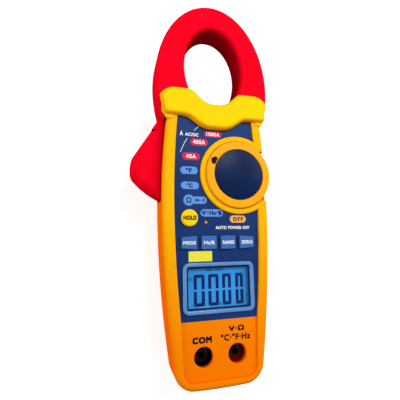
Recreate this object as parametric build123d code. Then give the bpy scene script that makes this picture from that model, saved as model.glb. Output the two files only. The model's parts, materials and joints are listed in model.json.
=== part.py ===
"""Clamp meter: an AC/DC multimeter with a sprung current jaw, a side-mounted dial and five keys.

Millimetres. The meter lies on its back: +Z out of its face, +Y towards the jaw, +X to its right.
The origin is the middle of the flat that it rests on, on the casing's centre plane.
"""
from build123d import *
import math
import os

# ---------------------------------------------------------------- driving dimensions
# Levels above the rest plane
split_level = 22.0             # where the two casing halves meet
rear_taper = 7.0               # degrees that the rear half's sides lean in
rail_level = 44.4              # crest of the two side rails
panel_level = 43.0             # printed face, and the orange floor around the sockets
collar_level = 47.2            # top of the hand guard across the jaw's root
jaw_back_level = 21.8
jaw_thickness = 20.9
trigger_back_level = 18.5
trigger_front_level = 39.2

# Casing outline, seen from the front
casing_half_width = 38.2
casing_widest_y = 27.0
casing_bottom_y = -96.0
casing_top_y = 86.0
casing_bottom_bow = 1.0
casing_corner_radius = 13.6
flank_radius_lower = 787.0
flank_radius_upper = 460.0
wall = 2.2
back_wall = 2.4
front_skin = 2.2               # plastic left under the printed panel
outer_edge_radius = 3.4        # rounding of the rails' outer edge
back_edge_radius = 6.0
seam_gap = 0.05

# Sunk floor between the rails, which the panel and the sockets share
rail_width = 8.1               # casing's widest line to the floor's edge
floor_radius_lower = 833.0
floor_radius_upper = 606.0
floor_bottom_y = -90.5
floor_bottom_taper = 5.5       # how much narrower the floor is at its foot
floor_corner_radius = 7.0
floor_edge_radius = 0.9

# Printed panel
panel_thickness = 0.8
panel_bottom_y = -53.9
panel_gap = 0.1

# Display
display_y = -33.4
display_width = 44.4
display_height = 27.5
display_corner_radius = 1.6
bezel_rim = 2.6
bezel_rise = 1.2
bezel_corner_radius = 4.2
bezel_edge_radius = 0.8
window_thickness = 1.3
window_lap = 0.9
glass_thickness = 2.7
glass_overhang = 2.0
glass_strip_ledge = 4.2
backlight_lap = 1.0
contact_strip_width = 2.0
holder_wall = 1.6
holder_gap = 0.3

# Main board
board_level = 31.8             # its underside
board_thickness = 1.6
board_top_y = 55.0
board_bottom_y = -87.0
board_side_gap = 1.2
board_post_gap = 0.6
board_trigger_gap = 1.2        # between the pressed trigger and the board's cut corner

# Keys
key_row_y = -4.0
key_pitch = 13.55
key_width = 10.7
key_height = 9.0
key_outer_height = 7.5         # height at the outer side of the two end keys
key_rise = 1.6
key_travel = 0.8
key_gap = 0.15
key_edge_radius = 0.7
key_corner_radius = 0.9
hold_x = -19.9
hold_y = 12.4
hold_radius = 5.75
hold_rise = 2.0
hold_edge_radius = 1.2
key_flange = 0.9               # lip that keeps a key from falling out
key_flange_thickness = 1.2
switch_side = 6.0
indicator_x = -8.3
indicator_y = 9.5
indicator_radius = 1.25
switch_height = 3.2
switch_plunger = 0.6
buzzer_x = 14.0
buzzer_y = 8.6
buzzer_radius = 6.0
buzzer_height = 4.5
buzzer_hole_radius = 1.0
large_chip_side = 14.0
large_chip_y = -34.0
small_chip_width = 5.0
small_chip_height = 6.2
small_chip_offset = 16.0
small_chip_y = -10.0
amplifier_chip_width = 7.6
amplifier_chip_y = 30.0
chip_thickness = 1.7
capacitor_radius = 2.5
capacitor_height = 7.0
capacitor_y = 4.0
capacitor_places = (-6.0, 6.0, 13.0)
thermistor_radius = 3.0
thermistor_height = 2.2

# Dial
dial_x = 15.95
dial_y = 43.1
dial_radius = 24.05
dial_gap = 0.35
dial_rim_width = 3.6           # raised casing ring around the dial
dial_level = 45.7
dial_thickness = 6.4
dial_edge_radius = 1.3
dial_floor = 1.6
dial_hub_radius = 8.9
dial_rest_angle = 153.0        # where the pointer stands, counter-clockwise from +X
dial_window_half_height = 18.1 # side cut where the thumb reaches the dial
cap_radius = 17.7
cap_depth = 1.5
cap_rise = 1.4
cap_groove = 0.6
pointer_width = 6.0
pointer_tip_radius = 22.9
pointer_rise = 0.15
rotor_radius = 16.0
rotor_thickness = 3.0
rotor_notches = 20
rotor_notch_radius = 0.9
wiper_radii = (6.0, 9.5, 13.0)
wiper_width = 1.6
wiper_length = 7.0
dial_screw_length = 6.0
dial_screw_head_height = 1.2
detent_angle = 180.0
detent_leaf_half = 9.0
detent_nose_radius = 0.6
detent_leaf_thickness = 0.5
running_gap = 0.06

# Jaw ring
opening_y = 122.5
opening_half_width = 21.5
opening_half_height = 31.6
ring_y = 110.0
ring_half_width = 42.6
ring_half_height = 63.0
jaw_edge_radius = 3.2
jaw_split_gap = 0.1
jaw_shell_joint = 25.0         # level where a jaw's front and back shells meet
jaw_tail_y = 70.3              # where the fixed jaw ends inside the casing
core_inner_inset = 4.5
core_width = 8.0
core_thickness = 12.6
core_gap = 0.2
core_end_wall = 1.2
jaw_clearance = 0.3
jaw_lid_lap = 1.5
jaw_sweep_steps = 3
core_seat_wall = 1.6           # plastic between the moving core and the pivot's bush

# Pivot, trigger and return spring
pivot_x = -14.0
pivot_y = 76.0
pivot_pin_radius = 2.5
pin_chamfer = 0.4
hub_radius = 9.0
bush_wall = 1.0
jaw_opening_angle = 24.0
trigger_stand = 20.0           # how far its tip stands out of the casing
trigger_shoulder_inset = 2.9   # a point on the straight back, from the tip's line
trigger_shoulder_y = 56.4
trigger_top_y = 83.3
trigger_back_top_y = 79.8      # where its back stops, short of the rear guard
trigger_ramp_low_y = 73.5      # its front climbs from here to the jaw
trigger_ramp_high_y = 80.0
jaw_root_y = 66.0
trigger_tuck = 4.8             # how far its inner side lies inside the casing's outline
trigger_slot_depth = 6.0       # slot's depth past the casing's wall
trigger_root_x = -27.0
trigger_root_y = 58.0
trigger_nose_radius = 8.5
trigger_sole_radius = 55.8     # underside, struck from the pivot
trigger_edge_radius = 5.0
spring_wire_radius = 0.8
spring_boss_gap = 0.2
spring_pitch = 2.0
spring_whole_turns = 2
spring_leave_angle = 150.0     # where the moving leg leaves the coil
spring_fixed_leg = 14.0

# Hand guard, moulded with both casing halves: a crest each side and a dip along the opening
guard_end_x = 39.9
guard_end_y = 97.0
guard_shoulder_x = 34.5
guard_shoulder_radius = 12.0
guard_crest_x = 17.6
guard_crest_y = 103.0
guard_crest_radius = 8.0
guard_dip_x = 7.0
guard_dip_y = 93.0
guard_dip_radius = 14.0
guard_foot_x = 36.8
guard_foot_y = 83.2
guard_foot_crest_x = 20.5
guard_foot_crest_y = 83.0
guard_foot_crest_radius = 10.0
guard_foot_dip_x = 9.0
guard_foot_dip_y = 74.9
guard_foot_dip_radius = 16.0
guard_end_radius = 2.5
guard_edge_radius = 2.8
guard_thickness = 4.2
heel_x = 38.5                  # heel that flares from the rail out to the guard's end
heel_y = 85.4
heel_low_x = 35.0
heel_low_y = 80.3
heel_rise = 0.4                # above the rails' crest
heel_edge_radius = 1.0
guard_seat_y = 84.8            # beyond this line the jaws fill the gap between the guards
slope_start_y = 60.0           # the back rises from here to the rear guard
rear_guard_level = 13.0
rear_guard_edge_radius = 2.0

# Field sensor in the fixed jaw, and its lead
sensor_thickness = 2.4
sensor_gap = 0.1
sensor_width = 6.0
sensor_height = 9.6
sensor_lead_radius = 0.9
sensor_lead_end_y = 50.0       # soldered under the board here

# Sockets
socket_x = 11.5
socket_y = -76.0
socket_mouth_radius = 6.35
socket_mouth_chamfer = 0.5
sleeve_radius = 6.2
sleeve_wall = 1.5
sleeve_floor = 1.2
contact_bore_radius = 2.0
contact_bore_length = 18.0
contact_wall = 1.1
contact_tip_level = 38.0
contact_end = 1.0
contact_collar_radius = 4.6
contact_collar_thickness = 0.9

# Battery, its bay and its cover
battery_length = 48.5
battery_width = 26.5
battery_depth = 17.0
battery_bottom_y = -64.0
battery_gap = 0.4
battery_edge_radius = 1.5
snap_length = 3.2
snap_width = 25.0
snap_height = 12.0
terminal_height = 1.6
terminal_radius = 3.0
terminal_spacing = 12.7
bay_wall = 2.4
bay_roof = 1.4
cover_width = 34.0
cover_margin = 9.0             # cover beyond the bay at each end, for its screws
cover_thickness = 2.0
cover_gap = 0.25
cover_recess = 0.3
cover_chamfer = 0.4
cover_corner_radius = 3.0
cover_screw_inset = 3.6
cover_boss_radius = 3.6
cover_boss_height = 1.9        # above the cover's inner face
cover_screw_bite = 5.0
lead_radius = 0.65
lead_spacing = 5.0
lead_turn_y = 1.0
lead_bend_radius = 5.0

# Screws
screw_radius = 1.4
screw_hole_gap = 0.1
screw_head_radius = 2.6
screw_head_height = 1.8
screw_post_radius = 3.9
screw_bite = 9.0
lid_screw_length = 8.0
board_screw_radius = 1.0
board_screw_length = 6.0
board_screw_head_radius = 2.0
board_screw_head_height = 1.2
board_post_radius = 2.6

# ---------------------------------------------------------------- sizes worked out from these
reach = casing_half_width + 2 * trigger_stand    # cutting blocks of this half-size clear the meter
floor_half_width = casing_half_width - rail_width
floor_bottom_half_width = floor_half_width - floor_bottom_taper
trigger_tip_x = -casing_half_width - trigger_stand
trigger_shoulder_x = trigger_tip_x + trigger_shoulder_inset
trigger_top_x = -casing_half_width
trigger_inner_x = -casing_half_width + trigger_tuck
slot_x = -casing_half_width + wall + trigger_slot_depth
jaw_front_level = jaw_back_level + jaw_thickness
core_level = jaw_shell_joint + core_gap
recess_level = panel_level - panel_thickness
ceiling_level = recess_level - front_skin
board_face = board_level + board_thickness
dial_back_level = dial_level - dial_thickness
well_level = dial_back_level - 0.2
well_floor_level = well_level - dial_floor
well_radius = dial_radius + dial_gap
dial_rim_radius = well_radius + dial_rim_width
guard_back_level = collar_level - guard_thickness
glass_level = ceiling_level - 0.3 - glass_thickness
switch_top_level = board_face + switch_height + switch_plunger
contact_outer_radius = contact_bore_radius + contact_wall
rotor_top_level = well_floor_level - 0.6
rotor_screw_level = rotor_top_level - rotor_thickness + 1.5
tail_front_level = ceiling_level - jaw_clearance
post_positions = [(-25.0, -70.5), (25.0, -70.5), (-29.6, 5.8), (22.0, 62.8)]
board_post_positions = [(-29.0, -52.0), (29.0, -52.0), (-29.5, 18.5)]
jaw_screw_positions = [(12.0, 74.5), (27.0, 90.5)]
moving_lid_screw_positions = [(-36.8, 108.0), (-28.0, 89.5)]
fixed_lid_screw_positions = [(36.8, 108.0)]
lid_head_level = jaw_back_level + 2.0
bezel_seat_level = ceiling_level + 1.0
rear_seat_level = jaw_back_level - jaw_clearance
hub_front_level = jaw_front_level - 5.2
pivot_seat_level = hub_front_level + running_gap
bush_radius = pivot_pin_radius + running_gap + bush_wall
pin_top_level = ceiling_level + 1.0
pin_low_level = 12.0
notch_low_y = pivot_y - 14.0
case_head_level = 6.0
jaw_head_level = 15.0
spring_boss_radius = pivot_pin_radius + wall - 0.1
spring_coil_radius = spring_boss_radius + spring_boss_gap + spring_wire_radius
spring_level = 15.1            # centre of its lowest turn
spring_rib_level = jaw_back_level - 0.8
sensor_x = jaw_split_gap / 2 + core_end_wall + sensor_gap
sensor_lead_x = sensor_x + sensor_thickness / 2
sensor_lead_level = board_level - sensor_lead_radius
cover_top_level = cover_recess + cover_thickness
cover_boss_level = cover_top_level + cover_boss_height
cover_head_level = cover_recess + screw_head_height + 0.3
cover_screw_top = cover_boss_level + cover_screw_bite
battery_level = cover_top_level + 0.2
bay_half_width = battery_width / 2 + battery_gap
bay_low_y = battery_bottom_y - battery_gap
bay_high_y = battery_bottom_y + battery_length + terminal_height + snap_length + battery_gap
cover_low_y = bay_low_y - cover_margin
cover_high_y = bay_high_y + cover_margin
cover_length = cover_high_y - cover_low_y
cover_middle_y = (cover_low_y + cover_high_y) / 2
cover_screw_rows = [cover_low_y + cover_screw_inset, cover_high_y - cover_screw_inset]
bay_roof_level = battery_level + battery_depth + battery_gap
lead_level = battery_level + battery_depth / 2
floor_side = (Align.CENTER, Align.CENTER, Align.MIN)


# ---------------------------------------------------------------- small makers
def disc(x, y, radius, low, high):
    return Pos(x, y, low) * Cylinder(radius, high - low, align=floor_side)


def block(x_low, x_high, y_low, y_high, z_low, z_high):
    size = (x_high - x_low, y_high - y_low, z_high - z_low)
    return Pos(x_low, y_low, z_low) * Box(*size, align=(Align.MIN, Align.MIN, Align.MIN))


def prism(face, low, high):
    return extrude(Pos(0, 0, low) * face, amount=high - low)


def edges_at(part, level):
    """Edges that lie flat at one level."""
    return part.edges().filter_by_position(Axis.Z, level - 1e-4, level + 1e-4)


def flank(y, widest, lower_radius, upper_radius):
    """Half-width of a bowed side at y: one arc below the widest line and one above it."""
    radius = lower_radius if y < casing_widest_y else upper_radius
    return widest - radius + math.sqrt(radius ** 2 - (y - casing_widest_y) ** 2)


def bowed_side(y_low, y_high, side, *arcs):
    """Edges of one bowed side, from y_low up to y_high."""
    edges = []
    for start, end in ((y_low, casing_widest_y), (casing_widest_y, y_high)):
        middle = (start + end) / 2
        points = [(side * flank(y, *arcs), y) for y in (start, middle, end)]
        edges.append(ThreePointArc(*points))
    return edges


def casing_face(inset=0.0):
    """Outline of both casing halves, drawn in by an even inset."""
    arcs = (casing_half_width - inset, flank_radius_lower - inset, flank_radius_upper - inset)
    low, high = casing_bottom_y + inset, casing_top_y
    bow_y = low + casing_bottom_bow
    foot, head = flank(bow_y, *arcs), flank(high, *arcs)
    sides = bowed_side(bow_y, high, 1, *arcs) + bowed_side(bow_y, high, -1, *arcs)
    bottom = ThreePointArc((-foot, bow_y), (0, low), (foot, bow_y))
    face = make_face(sides + [bottom, Line((-head, high), (head, high))])
    corners = face.vertices().sort_by(Axis.Y)[:2]
    return fillet(corners, casing_corner_radius - inset)


def floor_face():
    """Sunk floor between the rails."""
    arcs = (floor_half_width, floor_radius_lower, floor_radius_upper)
    low, high = floor_bottom_y, casing_top_y
    waist, head = flank(panel_bottom_y, *arcs), flank(high, *arcs)
    lines = []
    for side in (1, -1):
        lines += bowed_side(panel_bottom_y, high, side, *arcs)
        lines.append(Line((side * waist, panel_bottom_y), (side * floor_bottom_half_width, low)))
    lines.append(Line((-floor_bottom_half_width, low), (floor_bottom_half_width, low)))
    lines.append(Line((-head, high), (head, high)))
    face = make_face(lines)
    return fillet(face.vertices().sort_by(Axis.Y)[:2], floor_corner_radius)


def rounded_polygon(corners):
    """Closed outline from (x, y, corner radius) points."""
    points = [(x, y) for x, y, radius in corners]
    return make_face(FilletPolyline(*points, radius=[c[2] for c in corners], close=True))


def guard_face():
    """Wavy band of the hand guard, alike on both sides of the centre plane."""
    half_top = [(guard_end_x, guard_end_y, guard_end_radius),
                (guard_shoulder_x, guard_crest_y, guard_shoulder_radius),
                (guard_crest_x, guard_crest_y, guard_crest_radius),
                (guard_dip_x, guard_dip_y, guard_dip_radius)]
    half_foot = [(guard_foot_dip_x, guard_foot_dip_y, guard_foot_dip_radius),
                 (guard_foot_crest_x, guard_foot_crest_y, guard_foot_crest_radius),
                 (guard_foot_x, guard_foot_y, guard_end_radius)]
    top = half_top + [(-x, y, radius) for x, y, radius in reversed(half_top)]
    foot = [(-x, y, radius) for x, y, radius in reversed(half_foot)] + half_foot
    return rounded_polygon(top + foot)


def heel_face(side):
    """Flare beside a rail, under one end of the guard."""
    corners = [(floor_half_width, heel_low_y), (heel_low_x, heel_low_y), (heel_x, heel_y),
               (heel_x, guard_end_y - guard_end_radius), (floor_half_width, guard_end_y)]
    return make_face(Polyline(*[(side * x, y) for x, y in corners], close=True))


def half_plane(x_low, x_high, y_low, y_high):
    centre = Pos((x_low + x_high) / 2, (y_low + y_high) / 2)
    return centre * Rectangle(x_high - x_low, y_high - y_low)


def turned(shape, angle):
    """The shape turned about the jaw's pivot, counter-clockwise."""
    return Pos(pivot_x, pivot_y) * Rot(0, 0, angle) * Pos(-pivot_x, -pivot_y) * shape


def screw(x, y, head_level, length, radius, head_radius, head_height):
    """Pan-head cross-slot screw that points up, with its head's underside at head_level."""
    bottom = head_level - head_height
    shank = disc(x, y, radius, head_level, head_level + length)
    head = disc(x, y, head_radius, bottom, head_level)
    head = fillet(edges_at(head, bottom), head_height / 3)
    arm, half_slot, depth = head_radius * 0.6, head_radius * 0.12, head_height / 2
    cross = block(x - arm, x + arm, y - half_slot, y + half_slot, bottom, bottom + depth)
    cross += block(x - half_slot, x + half_slot, y - arm, y + arm, bottom, bottom + depth)
    return shank + head - cross


# ---------------------------------------------------------------- casing
def slope_cut(lift):
    """Wedge under the rising part of the back, moved up by lift."""
    corners = [(slope_start_y, -1), (slope_start_y, 0), (casing_top_y, rear_guard_level),
               (2 * reach, rear_guard_level), (2 * reach, -1)]
    side = make_face(Polyline(*[(y, z) for y, z in corners], close=True))
    placed = Plane.YZ.offset(-reach) * side
    return Pos(0, 0, lift) * extrude(placed, amount=2 * reach)


def rounded_outline(part, level, radius):
    """Round the outline's edges at one level, except the square end under the guard."""
    edges = [e for e in edges_at(part, level) if (e @ 0.5).Y < casing_top_y - 0.1]
    return fillet(edges, radius)


def rail_edges(part):
    """Edges at the rails' crest that border the sunk floor."""
    arcs = (casing_half_width, flank_radius_lower, flank_radius_upper)
    margin = outer_edge_radius + 0.5
    found = []
    for edge in edges_at(part, rail_level):
        middle = edge @ 0.5
        inside = abs(middle.X) < flank(middle.Y, *arcs) - margin
        if inside and casing_bottom_y + margin < middle.Y < casing_top_y - 0.1:
            found.append(edge)
    return found


def key_face(x, gap=0.0):
    """One key's outline. The end keys are lower at their outer side."""
    half = key_width / 2 + gap
    inner, outer = key_height / 2 + gap, key_outer_height / 2 + gap
    at_end = abs(x) > key_pitch
    left_half = outer if at_end and x < 0 else inner
    right_half = outer if at_end and x > 0 else inner
    radius = key_corner_radius + gap
    corners = [(half, right_half, radius), (-half, left_half, radius),
               (-half, -left_half, radius), (half, -right_half, radius)]
    return Pos(x, key_row_y) * rounded_polygon(corners)


def key_positions():
    return [(i - 1.5) * key_pitch for i in range(4)]


def bezel_outline(gap=0.0):
    width = display_width + 2 * (bezel_rim + gap)
    height = display_height + 2 * (bezel_rim + gap)
    return Pos(0, display_y) * RectangleRounded(width, height, bezel_corner_radius + gap)


def display_outline():
    return Pos(0, display_y) * RectangleRounded(display_width, display_height, display_corner_radius)


def slot_low_y():
    """Lower end of the trigger's slot, just under the trigger's underside at the inner wall."""
    inner_x = casing_half_width - wall + pivot_x
    return pivot_y - math.sqrt(trigger_sole_radius ** 2 - inner_x ** 2) - 2 * jaw_clearance


def front_casing():
    shell = prism(casing_face(), split_level + seam_gap, rail_level)
    shell = rounded_outline(shell, rail_level, outer_edge_radius)
    rim = Pos(dial_x, dial_y) * Circle(dial_rim_radius)
    shell -= prism(floor_face() - rim, panel_level, rail_level + 1)
    shell = fillet(rail_edges(shell), floor_edge_radius)
    guard = prism(guard_face(), guard_back_level, collar_level)
    shell += fillet(edges_at(guard, collar_level), guard_edge_radius)
    for side in (-1, 1):
        heel = prism(heel_face(side), guard_back_level, rail_level + heel_rise)
        outer = [e for e in edges_at(heel, rail_level + heel_rise) if abs((e @ 0.5).X) > heel_low_x]
        shell += fillet(outer, heel_edge_radius)
    shell -= prism(casing_face(wall), 0, ceiling_level)
    shell -= block(-reach, reach, guard_seat_y, 2 * reach, 0, guard_back_level)

    cup = disc(dial_x, dial_y, well_radius + wall, well_floor_level, ceiling_level + front_skin)
    shell += cup & prism(casing_face(), 0, rail_level)
    shell -= disc(dial_x, dial_y, well_radius, well_level, rail_level + 1)
    shell -= disc(dial_x, dial_y, dial_hub_radius + running_gap, well_floor_level - 1, well_level)
    low, high = dial_y - dial_window_half_height, dial_y + dial_window_half_height
    shell -= block(dial_x + well_radius * 0.6, reach, low, high, well_level, rail_level + 1)

    shell -= prism(panel_face(), recess_level, panel_level + 1)
    shell -= prism(bezel_outline(panel_gap), bezel_seat_level, panel_level + 1)
    shell -= prism(display_outline(), ceiling_level - 1, panel_level + 1)
    for x in key_positions():
        shell -= prism(key_face(x, key_gap), ceiling_level - 1, panel_level + 1)
    shell -= disc(hold_x, hold_y, hold_radius + key_gap, ceiling_level - 1, panel_level + 1)
    shell -= disc(indicator_x, indicator_y, indicator_radius + panel_gap,
                  ceiling_level - 1, panel_level + 1)
    for x in (-socket_x, socket_x):
        shell -= disc(x, socket_y, socket_mouth_radius, ceiling_level - 1, panel_level + 1)
        mouth_low = panel_level - socket_mouth_chamfer
        flare = Cone(socket_mouth_radius, socket_mouth_radius + 2 * socket_mouth_chamfer,
                     2 * socket_mouth_chamfer, align=floor_side)
        shell -= Pos(x, socket_y, mouth_low) * flare

    for x, y in post_positions:
        top = well_floor_level if y > board_top_y else ceiling_level
        shell += disc(x, y, screw_post_radius, split_level + seam_gap, top + wall / 2)
        shell -= disc(x, y, screw_radius, split_level, split_level + screw_bite + 1)
    for x, y in board_post_positions:
        shell += disc(x, y, board_post_radius, board_face, ceiling_level + 0.5)
        shell -= disc(x, y, board_screw_radius, board_level, ceiling_level - 1)
    shell += disc(pivot_x, pivot_y, pivot_pin_radius + wall, pivot_seat_level, ceiling_level + 0.5)
    shell -= disc(pivot_x, pivot_y, pivot_pin_radius, pivot_seat_level - 1, pin_top_level)

    shell -= block(-reach, slot_x, slot_low_y(), 2 * reach, 0, trigger_front_level + jaw_clearance)
    shell -= block(-reach, slot_x, notch_low_y, 2 * reach, 0, ceiling_level)
    return shell


def leaning_prism(face, low):
    """Rear half's outline at the split, leaning in towards the back."""
    return extrude(Pos(0, 0, split_level) * face, amount=split_level - low, dir=(0, 0, -1),
                   taper=rear_taper)


def rear_casing():
    outer = rounded_outline(leaning_prism(casing_face(), 0), 0, back_edge_radius) - slope_cut(0)
    hollow = leaning_prism(casing_face(wall), back_wall)
    shell = outer - (hollow - slope_cut(back_wall + 0.4))
    guard = prism(guard_face(), rear_guard_level, rear_seat_level)
    guard = fillet(edges_at(guard, rear_guard_level), rear_guard_edge_radius)
    inside = casing_face(wall) & half_plane(-reach, reach, 0, casing_top_y - wall)
    shell += guard - prism(inside, 0, reach)
    shell -= block(-reach, reach, guard_seat_y, 2 * reach, rear_seat_level, split_level + 1)

    ledge = wall + cover_gap
    shell += block(-cover_width / 2 - ledge, cover_width / 2 + ledge, cover_low_y - ledge,
                   cover_high_y + ledge, 1, cover_top_level + back_wall)
    shell += block(-bay_half_width - bay_wall, bay_half_width + bay_wall, bay_low_y - bay_wall,
                   bay_high_y + bay_wall, 1, bay_roof_level + bay_roof)
    for y in cover_screw_rows:
        shell += disc(0, y, cover_boss_radius + cover_gap + 0.8, 1, cover_screw_top + 0.8)
    shell -= block(-bay_half_width, bay_half_width, bay_low_y, bay_high_y, 0, bay_roof_level)
    cover_hole = RectangleRounded(cover_width + 2 * cover_gap, cover_length + 2 * cover_gap,
                                  cover_corner_radius + cover_gap)
    shell -= prism(Pos(0, cover_middle_y) * cover_hole, -1, cover_top_level)
    for y in cover_screw_rows:
        shell -= disc(0, y, screw_radius + screw_hole_gap, 0, cover_screw_top + 0.1)
        shell -= disc(0, y, cover_boss_radius + cover_gap, 0, cover_boss_level)
    lead_gap = lead_spacing / 2 + 2 * lead_radius
    shell -= block(-lead_gap, lead_gap, bay_high_y - 1, bay_high_y + bay_wall + 1,
                   lead_level - 2 * lead_radius, lead_level + 2 * lead_radius)

    for x, y in post_positions:
        shell += disc(x, y, screw_post_radius, 1, split_level) & outer
        shell -= disc(x, y, screw_radius + screw_hole_gap, 0, split_level + 1)
        shell -= disc(x, y, screw_head_radius + 0.3, -1, case_head_level)
    for x, y in jaw_screw_positions:
        foot = rear_guard_level + 0.5 if y > guard_seat_y else 1
        shell += disc(x, y, screw_post_radius, foot, rear_seat_level) - slope_cut(0)
        shell -= disc(x, y, screw_radius + screw_hole_gap, 0, jaw_back_level + 1)
        shell -= disc(x, y, screw_head_radius + 0.3, -1, jaw_head_level)
    boss = disc(pivot_x, pivot_y, spring_boss_radius, 1, jaw_back_level - running_gap)
    shell += boss - slope_cut(0)
    shell -= disc(pivot_x, pivot_y, pivot_pin_radius, pin_low_level, jaw_back_level)
    stop_x = pivot_x + spring_coil_radius + spring_wire_radius + 0.1
    stop_y = pivot_y - spring_fixed_leg + spring_wire_radius
    shell += block(stop_x, stop_x + wall, stop_y, stop_y + 6, 1, spring_rib_level) - slope_cut(0)

    slot_floor = trigger_back_level - jaw_clearance
    shell -= block(-reach, slot_x, slot_low_y(), guard_foot_crest_y, slot_floor, split_level + 1)
    shell -= block(-reach, slot_x, notch_low_y, 2 * reach, rear_seat_level, split_level + 1)
    return shell


def panel_face():
    """Printed panel's outline: the sunk floor above the sockets, short of the dial and the guard."""
    face = floor_face() & half_plane(-reach, reach, panel_bottom_y, casing_top_y)
    face -= Pos(dial_x, dial_y) * Circle(dial_rim_radius)
    face -= guard_face()
    return face.faces().sort_by(SortBy.AREA)[-1]


def bezel():
    frame = prism(bezel_outline(), bezel_seat_level, panel_level + bezel_rise)
    frame -= prism(display_outline(), 0, rail_level + 1)
    frame = fillet(edges_at(frame, panel_level + bezel_rise), bezel_edge_radius)
    rabbet = display_plate(window_lap + panel_gap, bezel_seat_level - 1, window_thickness + 1.1)
    return frame - rabbet


def display_plate(overhang, low, thickness, extra_height=0.0):
    """Flat plate behind the display's opening, wider than it by an overhang all round."""
    width = display_width + 2 * overhang
    height = display_height + 2 * (overhang + extra_height)
    return Pos(0, display_y, low) * Box(width, height, thickness, align=floor_side)


def window():
    return display_plate(window_lap, bezel_seat_level, window_thickness)


def display_glass():
    return display_plate(glass_overhang, glass_level, glass_thickness, glass_strip_ledge)


def backlight():
    return display_plate(backlight_lap, board_face, glass_level - board_face)


def contact_strips():
    """Two rubber strips that join the glass to the board, above and below the backlight."""
    offset_y = display_height / 2 + glass_overhang + glass_strip_ledge - contact_strip_width
    width = display_width + glass_overhang
    strips = []
    for side in (-1, 1):
        place = Pos(0, display_y + side * offset_y, board_face)
        size = (width, contact_strip_width, glass_level - board_face)
        strips.append(place * Box(*size, align=floor_side))
    return strips


def display_holder():
    height = glass_level + glass_thickness - board_face
    inside = glass_overhang + holder_gap
    outer = display_plate(inside + holder_wall, board_face, height, glass_strip_ledge)
    return outer - display_plate(inside, board_face - 1, height + 2, glass_strip_ledge)


def printed_panel():
    plate = prism(panel_face(), recess_level, panel_level)
    plate -= prism(bezel_outline(panel_gap), 0, rail_level)
    for x in key_positions():
        plate -= prism(key_face(x, key_gap), 0, rail_level)
    plate -= disc(hold_x, hold_y, hold_radius + key_gap, 0, rail_level)
    plate -= disc(indicator_x, indicator_y, indicator_radius + panel_gap, 0, rail_level)
    return plate


# ---------------------------------------------------------------- keys
def key(face, lip_face, top, edge_radius):
    """A key with a lip that holds it behind the casing's skin."""
    lip_top = ceiling_level - 0.1
    body = prism(face, switch_top_level + key_travel + 0.1, top)
    body = fillet(edges_at(body, top), edge_radius)
    return body + prism(lip_face, lip_top - key_flange_thickness, lip_top)


def row_key(x):
    return key(key_face(x), key_face(x, key_flange), panel_level + key_rise, key_edge_radius)


def hold_key():
    face = Pos(hold_x, hold_y) * Circle(hold_radius)
    lip = Pos(hold_x, hold_y) * Circle(hold_radius + key_flange)
    return key(face, lip, panel_level + hold_rise, hold_edge_radius)


def key_switches():
    """One tact switch under each key."""
    places = [(x, key_row_y) for x in key_positions()] + [(hold_x, hold_y)]
    made = []
    for x, y in places:
        body = Pos(x, y, board_face) * Box(switch_side, switch_side, switch_height, align=floor_side)
        made.append(body + disc(x, y, switch_side / 4, board_face + 1, switch_top_level))
    return made


# ---------------------------------------------------------------- board and what it carries
def trigger_room():
    """Pie that the trigger sweeps inside the casing when it is pressed."""
    pressed = turned(trigger_face(), jaw_opening_angle)
    low_x = pressed.bounding_box().max.X + board_trigger_gap
    pie = Pos(pivot_x, pivot_y) * Circle(trigger_sole_radius + board_trigger_gap)
    return pie & half_plane(-reach, low_x, 0, pivot_y)


def main_board():
    face = casing_face(wall + board_side_gap)
    face &= half_plane(-reach, reach, board_bottom_y, board_top_y)
    face -= trigger_room()
    board = prism(face, board_level, board_face)
    for x, y in post_positions:
        board -= disc(x, y, screw_post_radius + board_post_gap, 0, rail_level)
    for x, y in board_post_positions:
        board -= disc(x, y, board_screw_radius + screw_hole_gap, 0, rail_level)
    for x in (-socket_x, socket_x):
        board -= disc(x, socket_y, contact_outer_radius, 0, rail_level)
    return board


def board_chips():
    """Measuring, supply and amplifier chips, on the back of the board."""
    places = [(0, large_chip_y, large_chip_side, large_chip_side),
              (small_chip_offset, small_chip_y, small_chip_width, small_chip_height),
              (-small_chip_offset, small_chip_y, small_chip_width, small_chip_height),
              (dial_x, amplifier_chip_y, amplifier_chip_width, small_chip_width)]
    return [Pos(x, y, board_level - chip_thickness) * Box(w, h, chip_thickness, align=floor_side)
            for x, y, w, h in places]


def capacitors():
    """Three supply capacitors that stand under the board."""
    return [disc(x, capacitor_y, capacitor_radius, board_level - capacitor_height, board_level)
            for x in capacitor_places]


def buzzer():
    can = disc(buzzer_x, buzzer_y, buzzer_radius, board_face, board_face + buzzer_height)
    return can - disc(buzzer_x, buzzer_y, buzzer_hole_radius, board_face + 1, ceiling_level)


def indicator_lamp():
    lamp_top = panel_level - 0.1
    lamp = disc(indicator_x, indicator_y, indicator_radius, board_face, lamp_top)
    return fillet(edges_at(lamp, lamp_top), indicator_radius * 0.7)


def thermistor():
    return disc(0, socket_y, thermistor_radius, board_face, board_face + thermistor_height)


def socket_sleeve(x):
    """Insulating cup between the board and the casing's mouth."""
    cup = disc(x, socket_y, sleeve_radius + sleeve_wall, board_face, ceiling_level)
    cup -= disc(x, socket_y, sleeve_radius, board_face + sleeve_floor, ceiling_level + 1)
    return cup - disc(x, socket_y, contact_outer_radius, 0, ceiling_level)


def socket_contact(x):
    """Blind brass barrel for a 4 mm plug, with a collar on the sleeve's floor."""
    low = contact_tip_level - contact_bore_length - contact_end
    collar_low = board_face + sleeve_floor
    barrel = disc(x, socket_y, contact_outer_radius, low, contact_tip_level)
    barrel += disc(x, socket_y, contact_collar_radius, collar_low,
                   collar_low + contact_collar_thickness)
    return barrel - disc(x, socket_y, contact_bore_radius, low + contact_end, panel_level)


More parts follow.
